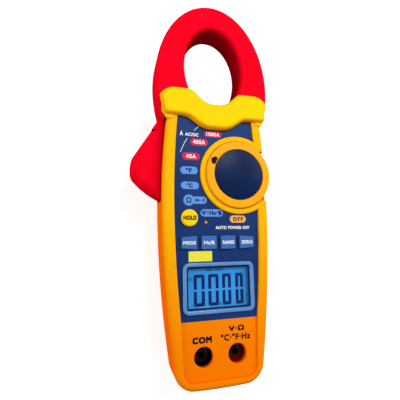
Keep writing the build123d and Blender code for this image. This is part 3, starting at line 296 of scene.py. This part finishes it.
def printInk(name, hexColour):
    look = inkLook
    material, tree, shader = startMaterial(name)
    place = addNode(tree, "ShaderNodeTexCoord").outputs["Object"]
    mottle = addNode(tree, "ShaderNodeTexNoise", None,
                     {"Vector": place, "Scale": 1 / (look["mottleMm"] * mm), "Detail": 2.0})
    thick = linearColour(hexColour)
    thin = tuple(c * look["thin"] for c in thick[:3]) + (1.0,)
    ink = addNode(tree, "ShaderNodeMix", {"data_type": "RGBA"},
                  {0: mottle.outputs["Fac"], 6: thin, 7: thick})
    tree.links.new(ink.outputs[2], shader.inputs["Base Color"])
    shader.inputs["Roughness"].default_value = look["roughness"]
    shader.inputs["Specular IOR Level"].default_value = look["shine"]
    return material


# Liquid-crystal glass lit from behind: its backlight is painted light, a faint glow with a brighter pool
# near the lamp at its lower left, put into the glass's colour as well
displayLook = {"edge": "#1f8fe6", "middle": "#3aa6f4", "driftMm": 30.0, "pool": "#bdf0ff",
               "poolX": -9.0, "poolY": -49.0, "poolWideMm": 11.0, "poolTallMm": 4.95, "glow": 0.12,
               "roughness": 0.25}


def displayGlass():
    look = displayLook
    material, tree, shader = startMaterial("backlitDisplayGlass")
    place = addNode(tree, "ShaderNodeTexCoord").outputs["Object"]
    wide, tall = look["poolWideMm"], look["poolTallMm"]
    centred = addNode(tree, "ShaderNodeMapping", None,
                      {"Vector": place, "Location": (-look["poolX"] / wide, -look["poolY"] / tall, 0.0),
                       "Scale": (1 / (wide * mm), 1 / (tall * mm), 0.0)})
    pool = addNode(tree, "ShaderNodeTexGradient", {"gradient_type": "QUADRATIC_SPHERE"},
                   {"Vector": centred.outputs["Vector"]})
    drift = addNode(tree, "ShaderNodeTexNoise", None,
                    {"Vector": place, "Scale": 1 / (look["driftMm"] * mm), "Detail": 0.0})
    field = addNode(tree, "ShaderNodeMix", {"data_type": "RGBA"},
                    {0: drift.outputs["Fac"], 6: linearColour(look["edge"]),
                     7: linearColour(look["middle"])})
    # painted light: the pool is mixed into both the colour and the glow
    lit = addNode(tree, "ShaderNodeMix", {"data_type": "RGBA"},
                  {0: pool.outputs["Fac"], 6: field.outputs[2], 7: linearColour(look["pool"])})
    tree.links.new(lit.outputs[2], shader.inputs["Base Color"])
    tree.links.new(lit.outputs[2], shader.inputs["Emission Color"])
    shader.inputs["Emission Strength"].default_value = look["glow"]
    shader.inputs["Roughness"].default_value = look["roughness"]
    return material


# Clear cast acrylic window: nearly all see-through, with a hard gloss and faint handling marks
windowLook = {"tint": "#4a6a90", "alpha": 0.05, "smearMm": 8.0, "clean": 0.03, "smeared": 0.09,
              "ior": 1.49}


def windowAcrylic():
    look = windowLook
    material, tree, shader = startMaterial("clearAcrylic")
    place = addNode(tree, "ShaderNodeTexCoord").outputs["Object"]
    smear = addNode(tree, "ShaderNodeTexNoise", None,
                    {"Vector": place, "Scale": 1 / (look["smearMm"] * mm), "Detail": 2.0})
    gloss = addNode(tree, "ShaderNodeMapRange", None,
                    {"Value": smear.outputs["Fac"], "To Min": look["clean"], "To Max": look["smeared"]})
    tree.links.new(gloss.outputs["Result"], shader.inputs["Roughness"])
    shader.inputs["Base Color"].default_value = linearColour(look["tint"])
    shader.inputs["Alpha"].default_value = look["alpha"]
    shader.inputs["IOR"].default_value = look["ior"]
    return material


# Metals: turned brass, zinc-plated and laminated steel, drawn aluminium. Each has the faint bands
# that its tool or its rolls leave along the piece, drawn far apart, so that they show
metalLooks = {
    # the brass is painted dark, as the shade deep in the sockets where its contacts sit
    "turnedBrass": {"base": "#665028", "dark": "#30240f", "roughness": 0.3, "bandMm": 3.14},
    "zincSteel": {"base": "#b4b7bc", "dark": "#83868c", "roughness": 0.34, "bandMm": 5.03},
    "drawnAluminium": {"base": "#c8cace", "dark": "#9a9ca1", "roughness": 0.3, "bandMm": 5.65},
    "laminatedSteel": {"base": "#6c6f75", "dark": "#45474c", "roughness": 0.45, "bandMm": 4.4},
}
# A wave texture of scale 1 runs through 20 radians in one unit of length
bandLook = {"radians": 20, "distortion": 1.5}


def metal(name, look):
    material, tree, shader = startMaterial(name)
    place = addNode(tree, "ShaderNodeTexCoord").outputs["Object"]
    bands = addNode(tree, "ShaderNodeTexWave", {"bands_direction": "Z"},
                    {"Vector": place, "Scale": math.tau / (look["bandMm"] * mm) / bandLook["radians"],
                     "Distortion": bandLook["distortion"], "Detail": 2.0})
    colour = addNode(tree, "ShaderNodeMix", {"data_type": "RGBA"},
                     {0: bands.outputs["Fac"], 6: linearColour(look["dark"]),
                      7: linearColour(look["base"])})
    tree.links.new(colour.outputs[2], shader.inputs["Base Color"])
    shader.inputs["Metallic"].default_value = 1.0
    shader.inputs["Roughness"].default_value = look["roughness"]
    return material


# Glass-epoxy board under green solder resist: the woven glass shows through as a fine weave, in which
# two threads lie end to end in each weaveMm
boardLook = {"weaveMm": 1.2, "warp": "#0d5a34", "weft": "#0f6439", "gap": "#0a4427", "gapSize": 0.04,
             "roughness": 0.3}


def boardEpoxy():
    look = boardLook
    material, tree, shader = startMaterial("greenSolderResist")
    place = addNode(tree, "ShaderNodeTexCoord").outputs["Object"]
    weave = addNode(tree, "ShaderNodeTexBrick", {"offset": 0.0},
                    {"Vector": place, "Scale": 1 / (look["weaveMm"] * mm),
                     "Color1": linearColour(look["warp"]), "Color2": linearColour(look["weft"]),
                     "Mortar": linearColour(look["gap"]), "Mortar Size": look["gapSize"]})
    tree.links.new(weave.outputs["Color"], shader.inputs["Base Color"])
    shader.inputs["Roughness"].default_value = look["roughness"]
    return material


# Printed steel jacket of a plain battery: dark wrap with one copper-coloured end band
batteryLook = {"wrap": "#1b1c20", "band": "#a8672f", "bandY": -30.0, "metallic": 0.6, "roughness": 0.32}


def batteryWrap():
    look = batteryLook
    material, tree, shader = startMaterial("batterySteelWrap")
    place = addNode(tree, "ShaderNodeTexCoord").outputs["Object"]
    axes = addNode(tree, "ShaderNodeSeparateXYZ", None, {"Vector": place})
    band = addNode(tree, "ShaderNodeMath", {"operation": "GREATER_THAN"},
                   {0: axes.outputs["Y"], 1: look["bandY"] * mm})
    colour = addNode(tree, "ShaderNodeMix", {"data_type": "RGBA"},
                     {0: band.outputs[0], 6: linearColour(look["wrap"]), 7: linearColour(look["band"])})
    tree.links.new(colour.outputs[2], shader.inputs["Base Color"])
    shader.inputs["Metallic"].default_value = look["metallic"]
    shader.inputs["Roughness"].default_value = look["roughness"]
    return material


# Tinted cast epoxy of the indicator lamp, unlit
lampLook = {"base": "#c96a4a", "pale": "#f4b08c", "cloudMm": 1.0, "roughness": 0.15, "scatter": 0.2,
            "scatterMm": 1.0}


def lampEpoxy():
    look = lampLook
    material, tree, shader = startMaterial("amberLampEpoxy")
    place = addNode(tree, "ShaderNodeTexCoord").outputs["Object"]
    cloud = addNode(tree, "ShaderNodeTexNoise", None,
                    {"Vector": place, "Scale": 1 / (look["cloudMm"] * mm), "Detail": 1.0})
    colour = addNode(tree, "ShaderNodeMix", {"data_type": "RGBA"},
                     {0: cloud.outputs["Fac"], 6: linearColour(look["base"]),
                      7: linearColour(look["pale"])})
    tree.links.new(colour.outputs[2], shader.inputs["Base Color"])
    shader.inputs["Roughness"].default_value = look["roughness"]
    shader.inputs["Subsurface Weight"].default_value = look["scatter"]
    shader.inputs["Subsurface Scale"].default_value = look["scatterMm"] * mm
    return material


plastics = {name: mouldedPlastic(name, look) for name, look in plasticLooks.items()}
metals = {name: metal(name, look) for name, look in metalLooks.items()}
inks = {ink: printInk(name, colour) for ink, (name, colour) in inkColours.items()}
slotMaterials = {
    "casing_orange": casingAbs(), "jaw_red": plastics["jawRedAbs"], "panel_navy": panelFilm(),
    "bezel_blue": plastics["bezelBluePolycarbonate"], "window_clear": windowAcrylic(),
    "display_glass": displayGlass(), "backlight_blue": plastics["lightGuideAcrylic"],
    "strip_rubber": plastics["carbonSilicone"], "white_plastic": plastics["naturalNylon"],
    "board_green": boardEpoxy(), "black_plastic": plastics["blackNylon"],
    "capacitor_can": metals["drawnAluminium"], "thermistor_blue": plastics["dippedEpoxy"],
    "lamp_amber": lampEpoxy(), "key_blue": plastics["keyBlueSilicone"],
    "key_yellow": plastics["keyYellowSilicone"], "dial_yellow": plastics["dialOrangeAbs"],
    "cap_navy": plastics["capNavyAbs"], "sleeve_red": plastics["redNylon"], "brass": metals["turnedBrass"],
    "steel": metals["zincSteel"], "core_steel": metals["laminatedSteel"], "battery_case": batteryWrap(),
    "lead_black": plastics["leadPvc"],
}
for part in record["subparts"]:
    node = cadNodes[part["node"]]
    node.data.materials.clear()
    node.data.materials.append(slotMaterials[part["material_slot"]])
print("materials done")

# Printed words, patches and lines. Each starts a little inside what carries it, and the bold copies
# of a word step up, so that no two faces coincide. A corner stays just short of a full half round,
# so that its ends don't meet
printLook = {"wordMm": 0.04, "patchMm": 0.03, "sunkMm": 0.02, "riseMm": 0.008, "spacing": 1.12,
             "curveSteps": 4, "cornerShare": 0.999, "cornerSteps": 8, "arcSteps": 12}
boldMm = {"white": 0.1, "navy": 0.18, "black": 0.18, "plain": 0.1}
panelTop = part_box("face_panel")[1][2] / mm
patchTop = panelTop + printLook["patchMm"]


def extrudeUp(piece, riseMm):
    # gives a flat piece its thickness, and turns all its faces outwards
    bpy.context.view_layer.objects.active = piece
    bpy.ops.object.mode_set(mode="EDIT")
    bpy.ops.mesh.select_all(action="SELECT")
    bpy.ops.mesh.extrude_region_move(TRANSFORM_OT_translate={"value": (0, 0, riseMm * mm)})
    bpy.ops.mesh.select_all(action="SELECT")
    bpy.ops.mesh.normals_make_consistent(inside=False)
    bpy.ops.object.mode_set(mode="OBJECT")


def addPlane():
    # a square one unit wide, to be fitted to its place
    deselectAll()
    bpy.ops.mesh.primitive_plane_add(size=1.0, location=(0, 0, 0))
    return bpy.context.object


def printWord(word, spot, level, bold=boldMm["plain"], spacing=printLook["spacing"]):
    # one word of flat ink in the box spot = (left, right, low, high) in millimetres; four copies
    # set off by bold make its strokes heavier
    left, right, low, high = spot[0] + bold, spot[1] - bold, spot[2] + bold, spot[3] - bold
    deselectAll()
    bpy.ops.object.text_add(location=(0, 0, 0))
    text = bpy.context.object
    text.data.body = word
    text.data.size = 1.0
    text.data.space_character = spacing
    text.data.resolution_u = printLook["curveSteps"]
    text.data.extrude = 0.5  # one unit thick in all, until it is fitted to its box
    bpy.ops.object.convert(target="MESH")
    text = bpy.context.object
    xs = [v.co.x for v in text.data.vertices]
    ys = [v.co.y for v in text.data.vertices]
    wide, tall = max(xs) - min(xs), max(ys) - min(ys)
    fit = Matrix.Diagonal(((right - left) * mm / wide, (high - low) * mm / tall,
                           printLook["wordMm"] * mm, 1.0))
    start = Matrix.Translation((-min(xs), -min(ys), 0.5))
    base = level - printLook["sunkMm"]
    placeMesh(text, Matrix.Translation((left * mm, low * mm, base * mm)) @ fit @ start)
    copies = [text]
    for rise, (stepX, stepY) in enumerate(((-1, -1), (-1, 1), (1, -1), (1, 1)), 1):
        deselectAll()
        text.select_set(True)
        bpy.context.view_layer.objects.active = text
        bpy.ops.object.duplicate()
        step = Vector((stepX * bold, stepY * bold, rise * printLook["riseMm"])) * mm
        placeMesh(bpy.context.object, Matrix.Translation(step))
        copies.append(bpy.context.object)
    return joinPieces(copies, word)


def printPatch(spot, level, corner=0.0, thick=printLook["patchMm"]):
    # a flat patch of ink, with rounded corners if it has a corner radius
    left, right, low, high = spot
    patch = addPlane()
    size = Matrix.Diagonal(((right - left) * mm, (high - low) * mm, 1.0, 1.0))
    middle = Matrix.Translation(((left + right) / 2 * mm, (low + high) / 2 * mm,
                                 (level - printLook["sunkMm"]) * mm))
    placeMesh(patch, middle @ size)
    if corner:
        bpy.ops.object.mode_set(mode="EDIT")
        bpy.ops.mesh.select_all(action="SELECT")
        bpy.ops.mesh.bevel(offset=corner * mm * printLook["cornerShare"],
                           segments=printLook["cornerSteps"], affect="VERTICES", profile=0.5)
        bpy.ops.object.mode_set(mode="OBJECT")
    extrudeUp(patch, thick + printLook["sunkMm"])
    return patch


def halfHigh(spot):
    # the corner radius that gives a patch round ends
    return (spot[3] - spot[2]) / 2


def printArc(centre, radius, start, end, width, level):
    # a thin curved line of ink, from one angle to the other, in degrees counter-clockwise from +X;
    # it is spun from a straight edge, and the spin turns clockwise, so its angle is negative
    line = addPlane()
    edge = Matrix.Diagonal((width * mm, 1e-6, 1.0, 1.0))
    outwards = Matrix.Translation((radius * mm, 0, (level - printLook["sunkMm"]) * mm))
    turn = Matrix.Rotation(math.radians(start), 4, "Z")
    middle = Vector((centre[0], centre[1], 0)) * mm
    placeMesh(line, Matrix.Translation(middle) @ turn @ outwards @ edge)
    bpy.ops.object.mode_set(mode="EDIT")
    bpy.ops.mesh.select_all(action="SELECT")
    bpy.ops.mesh.delete(type="ONLY_FACE")
    bpy.ops.mesh.select_all(action="SELECT")
    bpy.ops.mesh.remove_doubles(threshold=0.01 * mm)
    bpy.ops.mesh.select_all(action="SELECT")
    bpy.ops.mesh.spin(steps=printLook["arcSteps"], angle=math.radians(start - end), axis=(0, 0, 1),
                      center=middle)
    bpy.ops.mesh.select_all(action="SELECT")
    bpy.ops.mesh.normals_make_consistent(inside=False)
    bpy.ops.object.mode_set(mode="OBJECT")
    extrudeUp(line, printLook["patchMm"] + printLook["sunkMm"])
    return line


# Function marks round the dial: an ink patch with words on it. A mark may set its words' own weight
# and letter spacing
dialMarks = [
    {"patch": (-8.2, 4.4, 69.5, 73.7), "ink": "pink",
     "words": [("1000A", (-6.8, 2.9, 70.3, 73.0), "white")]},
    {"patch": (-18.5, -5.9, 62.8, 67.7), "ink": "pink",
     "words": [("400A", (-16.7, -7.8, 63.8, 66.8), "white")]},
    {"patch": (-24.4, -11.9, 52.2, 57.4), "ink": "pink",
     "words": [("40A", (-21.8, -14.6, 53.3, 56.3), "white")]},
    {"patch": (-25.8, -13.5, 42.3, 47.5), "ink": "blue",
     "words": [("°F", (-21.9, -17.8, 43.4, 46.5), "navy")]},
    {"patch": (-25.4, -12.9, 31.9, 37.0), "ink": "blue",
     "words": [("°C", (-21.4, -17.2, 32.9, 36.0), "navy")]},
    {"patch": (-12.2, 4.0, 13.4, 18.4), "ink": "blue",
     "words": [("V", (-11.2, -8.4, 14.4, 17.4), "navy"), ("Hz·%", (-5.8, 3.0, 14.4, 17.4), "navy")]},
    {"patch": (8.8, 20.8, 9.3, 14.3), "ink": "orange", "boldMm": 0.15, "spacing": 1.4,
     "words": [("OFF", (11.2, 18.5, 10.4, 13.2), "black")]},
]
prints = []  # each entry is a piece and its ink
for mark in dialMarks:
    prints.append((printPatch(mark["patch"], panelTop, halfHigh(mark["patch"])), mark["ink"]))
    for word, spot, ink in mark["words"]:
        weight, spacing = mark.get("boldMm", boldMm[ink]), mark.get("spacing", printLook["spacing"])
        prints.append((printWord(word, spot, patchTop, weight, spacing), ink))

# Resistance, diode and buzzer mark: a round end and a bar in one patch, under an ohm sign, a diode's
# wire, arrow and plate, and three sound waves. The bar's ink is thinner than the round end's
ohmMark = {"round": (-23.9, -16.3, 20.6, 28.2), "bar": (-18.0, -7.5, 22.0, 27.0), "barMm": 0.025,
           "ohm": (-21.9, -18.3, 22.6, 26.3), "wire": (-16.2, -12.0, 24.35, 24.65),
           "arrow": (-15.2, -13.3, 23.5, 25.5), "plate": (-13.3, -12.95, 23.5, 25.5),
           "buzzer": (-11.2, 24.5), "waves": (0.7, 1.4, 2.1), "waveHalf": 40, "waveMm": 0.35}
prints.append((printPatch(ohmMark["round"], panelTop, halfHigh(ohmMark["round"])), "blue"))
prints.append((printPatch(ohmMark["bar"], panelTop, halfHigh(ohmMark["bar"]), ohmMark["barMm"]), "blue"))
prints.append((printWord("Ω", ohmMark["ohm"], patchTop), "navy"))
prints.append((printPatch(ohmMark["wire"], patchTop), "navy"))
prints.append((printWord("▶", ohmMark["arrow"], patchTop), "navy"))
prints.append((printPatch(ohmMark["plate"], patchTop), "navy"))
for radius in ohmMark["waves"]:
    half = ohmMark["waveHalf"]
    prints.append((printArc(ohmMark["buzzer"], radius, -half, half, ohmMark["waveMm"], patchTop), "navy"))

# Two kinds of current after the V: a wavy line over a straight one
currentMark = {"wave": (-8.2, -6.2, 16.2, 16.9), "line": (-8.2, -6.2, 15.3, 15.6)}
prints.append((printWord("~", currentMark["wave"], patchTop), "navy"))
prints.append((printPatch(currentMark["line"], patchTop), "navy"))

panelWords = [("AUTO POWER OFF", (-1.6, 23.1, 4.9, 7.0)), ("A", (-25.9, -23.6, 69.2, 72.4)),
              ("AC/DC", (-22.2, -12.6, 69.2, 71.6))]
for word, spot in panelWords:
    prints.append((printWord(word, spot, panelTop, boldMm["white"]), "white"))

# An arc about the dial's centre beside the current ranges, broken where AC/DC stands
arcMark = {"radius": 43.9, "lineMm": 0.4, "turns": [(129.8, 136.2), (146.3, 161.1)]}
dialLow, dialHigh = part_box("selector_dial")
dialCentre = [(dialLow[i] + dialHigh[i]) / 2 / mm for i in (0, 1)]
for start, end in arcMark["turns"]:
    prints.append((printArc(dialCentre, arcMark["radius"], start, end, arcMark["lineMm"], panelTop),
                   "white"))

# Blank marking strip above the display
markingStrip = {"spot": (-20.7, -4.6, -16.3, -9.6), "cornerMm": 0.3}
prints.append((printPatch(markingStrip["spot"], panelTop, markingStrip["cornerMm"]), "yellow"))

# Words on the orange floor by the sockets, each with its own weight
floorWords = [("COM", (-18.9, -6.0, -67.5, -63.4), 0.3), ("V·Ω", (5.7, 16.6, -61.8, -58.2), 0.22),
              ("°C·°F·Hz", (0.1, 20.7, -67.4, -63.2), 0.18)]
for word, spot, bold in floorWords:
    prints.append((printWord(word, spot, panelTop, bold), "black"))

for ink in sorted({ink for _, ink in prints}):
    piece = joinPieces([p for p, i in prints if i == ink], f"face_print_{ink}")
    finishPiece(piece, inks[ink], "casing")
print("face prints done")


# Each key's word, its width, its height and its ink
keyWords = {
    "mode_key": ("MODE", 8.6, 2.3, "white"), "hertz_key": ("Hz%", 7.4, 2.4, "white"),
    "range_key": ("RANGE", 8.2, 2.3, "white"), "zero_key": ("ZERO", 8.4, 2.3, "white"),
    "hold_key": ("HOLD", 9.0, 3.0, "black"),
}
for node, (word, wide, tall, ink) in keyWords.items():
    low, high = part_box(node)
    midX, midY = (low[0] + high[0]) / 2 / mm, (low[1] + high[1]) / 2 / mm
    spot = (midX - wide / 2, midX + wide / 2, midY - tall / 2, midY + tall / 2)
    piece = printWord(word, spot, high[2] / mm, boldMm[ink])
    piece.name = node + "_word"
    finishPiece(piece, inks[ink], node)
print("key words done")


# The digits: mitred bars of dark liquid crystal that float just over the glass. "middleMm" is the
# room that the unlit middle bar leaves, and "mitre" is how far each mitred end of a bar's inner edge
# is cut back, in shares of the bar's width
segmentLook = {"barMm": 2.1, "gapMm": 0.45, "middleMm": 1.4, "mitre": 0.9, "thickMm": 0.03,
               "floatMm": 0.05, "rows": (-45.4, -25.0),
               "columns": [(-16.7, -9.2), (-6.7, 0.6), (3.2, 9.5), (12.7, 18.3)],
               "point": (1.2, 2.1, -45.3, -43.9), "pointCornerMm": 0.2}
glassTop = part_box("lcd_glass")[1][2] / mm + segmentLook["floatMm"]


def displayBar(x, y, length, turn, square=0):
    # one mitred bar: its inner edge, on the low side before it is turned, is the shorter one.
    # square is the end, -1 or 1, that stays square, or 0 where both are mitred
    bar = addPlane()
    thick = segmentLook["barMm"]
    placeMesh(bar, Matrix.Diagonal((length * mm, thick * mm, 1.0, 1.0)))
    for vertex in bar.data.vertices:
        vertex.select = vertex.co.y < 0
    for edge in bar.data.edges:
        edge.select = all(bar.data.vertices[i].co.y < 0 for i in edge.vertices)
    for face in bar.data.polygons:
        face.select = False
    bpy.ops.object.mode_set(mode="EDIT")
    inner = 1 - (1 if square else 2) * thick * segmentLook["mitre"] / length
    bpy.ops.transform.resize(value=(inner, 1, 1), center_override=(square * length / 2 * mm, 0, 0))
    bpy.ops.object.mode_set(mode="OBJECT")
    extrudeUp(bar, segmentLook["thickMm"])
    turned = Matrix.Rotation(math.radians(turn), 4, "Z")
    placeMesh(bar, Matrix.Translation((x * mm, y * mm, glassTop * mm)) @ turned)
    return bar


def displayNought(left, right, low, high):
    # every bar but the middle one
    thick, gap = segmentLook["barMm"], segmentLook["gapMm"]
    flat = right - left - gap
    tall = (high - low) / 2 - gap / 2 - segmentLook["middleMm"] / 2
    across = (left + right) / 2
    nought = [displayBar(across, high - thick / 2, flat, 0), displayBar(across, low + thick / 2, flat, 180)]
    for y, end in ((high - gap / 2 - tall / 2, -1), (low + gap / 2 + tall / 2, 1)):
        nought.append(displayBar(left + thick / 2, y, tall, 90, end))
        nought.append(displayBar(right - thick / 2, y, tall, -90, -end))
    return nought


bars = []
for left, right in segmentLook["columns"]:
    bars += displayNought(left, right, *segmentLook["rows"])
point = printPatch(segmentLook["point"], glassTop, segmentLook["pointCornerMm"])
digits = joinPieces(bars + [point], "display_digits")
finishPiece(digits, inks["segment"], "casing")

# The small signs round the digits, fainter than they are
displaySigns = [("HOLD", (-8.0, -3.2, -22.9, -21.4)), ("ZERO", (-1.8, 4.0, -22.9, -21.4)),
                ("DC", (-20.6, -17.3, -28.8, -27.0)), ("A", (20.2, 21.6, -40.6, -38.9))]
signs = joinPieces([printWord(word, spot, glassTop) for word, spot in displaySigns], "display_signs")
finishPiece(signs, inks["faint"], "casing")

# Dark border printed on the window, which hides the edges of the glass
borderLook = {"wideMm": 44.3, "tallMm": 27.4, "lineMm": 1.1}
windowLow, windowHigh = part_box("display_window")
windowX, windowY = [(windowLow[i] + windowHigh[i]) / 2 / mm for i in (0, 1)]
halfWide, halfTall, line = borderLook["wideMm"] / 2, borderLook["tallMm"] / 2, borderLook["lineMm"]
strips = []
for side in (-1, 1):
    edgeX, edgeY = windowX + side * (halfWide - line / 2), windowY + side * (halfTall - line / 2)
    strips.append((edgeX - line / 2, edgeX + line / 2, windowY - halfTall + line,
                   windowY + halfTall - line))
    strips.append((windowX - halfWide, windowX + halfWide, edgeY - line / 2, edgeY + line / 2))
windowBorder = joinPieces([printPatch(spot, windowHigh[2] / mm) for spot in strips], "window_border")
finishPiece(windowBorder, inks["border"], "casing")
print("display done")


# A pale floor that keeps the meter's shadow; what the camera, gloss and glass see of it is lifted
# to white by a glow that lights nothing else
floorLook = {"grey": 0.72, "glow": 0.72, "roughness": 0.9, "sizeM": 6.0, "levelM": -0.0005}


def paleFloor():
    look = floorLook
    material, tree, shader = startMaterial("paleFloor")
    rays = addNode(tree, "ShaderNodeLightPath")
    direct = addNode(tree, "ShaderNodeMath", {"operation": "MAXIMUM"},
                     {0: rays.outputs["Is Camera Ray"], 1: rays.outputs["Is Glossy Ray"]})
    seen = addNode(tree, "ShaderNodeMath", {"operation": "MAXIMUM"},
                   {0: direct.outputs[0], 1: rays.outputs["Is Transmission Ray"]})
    glow = addNode(tree, "ShaderNodeMath", {"operation": "MULTIPLY"}, {0: seen.outputs[0], 1: look["glow"]})
    tree.links.new(glow.outputs[0], shader.inputs["Emission Strength"])
    shader.inputs["Emission Color"].default_value = linearColour("#ffffff")
    shader.inputs["Base Color"].default_value = (look["grey"], look["grey"], look["grey"], 1.0)
    shader.inputs["Roughness"].default_value = look["roughness"]
    return material


deselectAll()
bpy.ops.mesh.primitive_plane_add(size=floorLook["sizeM"], location=(0, 0, floorLook["levelM"]))
floor = bpy.context.object
floor.name = "floor"
floor.data.materials.append(paleFloor())

# A white room, much dimmer to the meter than to the camera and to what glass lets through
roomLook = {"seen": 1.0, "light": 0.24}
world = bpy.data.worlds.new("paleRoom")
bpy.context.scene.world = world
world.use_nodes = True
worldTree = world.node_tree
worldTree.nodes.clear()
roomRays = addNode(worldTree, "ShaderNodeLightPath")
seenRoom = addNode(worldTree, "ShaderNodeMath", {"operation": "MAXIMUM"},
                   {0: roomRays.outputs["Is Camera Ray"], 1: roomRays.outputs["Is Transmission Ray"]})
roomLight = addNode(worldTree, "ShaderNodeMapRange", None,
                    {"Value": seenRoom.outputs[0], "To Min": roomLook["light"],
                     "To Max": roomLook["seen"]})
background = addNode(worldTree, "ShaderNodeBackground", None,
                     {"Color": linearColour("#ffffff"), "Strength": roomLight.outputs["Result"]})
addNode(worldTree, "ShaderNodeOutputWorld", None, {"Surface": background.outputs["Background"]})

# Square area lamps: places, aims and sizes in metres
lamps = [
    {"name": "windowRight", "place": (0.8, 0.45, 0.6), "aim": (0.0, 0.03, 0.03), "size": 0.5, "watts": 6.6},
    {"name": "softTop", "place": (0.2, 0.5, 0.92), "aim": (0.0, 0.03, 0.03), "size": 0.25, "watts": 4.4},
    {"name": "lowLeft", "place": (-1.0, -0.1, 0.32), "aim": (0.0, 0.0, 0.02), "size": 0.5, "watts": 5.0},
]
for lamp in lamps:
    deselectAll()
    bpy.ops.object.light_add(type="AREA", location=lamp["place"])
    light = bpy.context.object
    light.name = lamp["name"]
    light.data.size = lamp["size"]
    light.data.energy = lamp["watts"]
    way = Vector(lamp["aim"]) - Vector(lamp["place"])
    light.rotation_euler = way.to_track_quat("-Z", "Y").to_euler()

# The camera: lengths in millimetres, and its turns about Y, X and Z in degrees
cameraLook = {"place": (-68.15, -3.85, 238.17), "turn": (15.984, -7.95, -1.225), "lensMm": 27.25,
              "sensorMm": 36.0, "nearMm": 5.0}
deselectAll()
bpy.ops.object.camera_add()
camera = bpy.context.object
camera.location = Vector(cameraLook["place"]) * mm
swing, tip, roll = (math.radians(a) for a in cameraLook["turn"])
toCamera = Matrix.Rotation(swing, 3, "Y") @ Matrix.Rotation(tip, 3, "X") @ Matrix.Rotation(roll, 3, "Z")
camera.rotation_euler = toCamera.transposed().to_euler()
camera.data.sensor_width = cameraLook["sensorMm"]
camera.data.lens = cameraLook["lensMm"]
camera.data.clip_start = cameraLook["nearMm"] * mm
bpy.context.scene.camera = camera
bpy.context.scene.view_settings.view_transform = "Standard"
print("floor, lights and camera done")
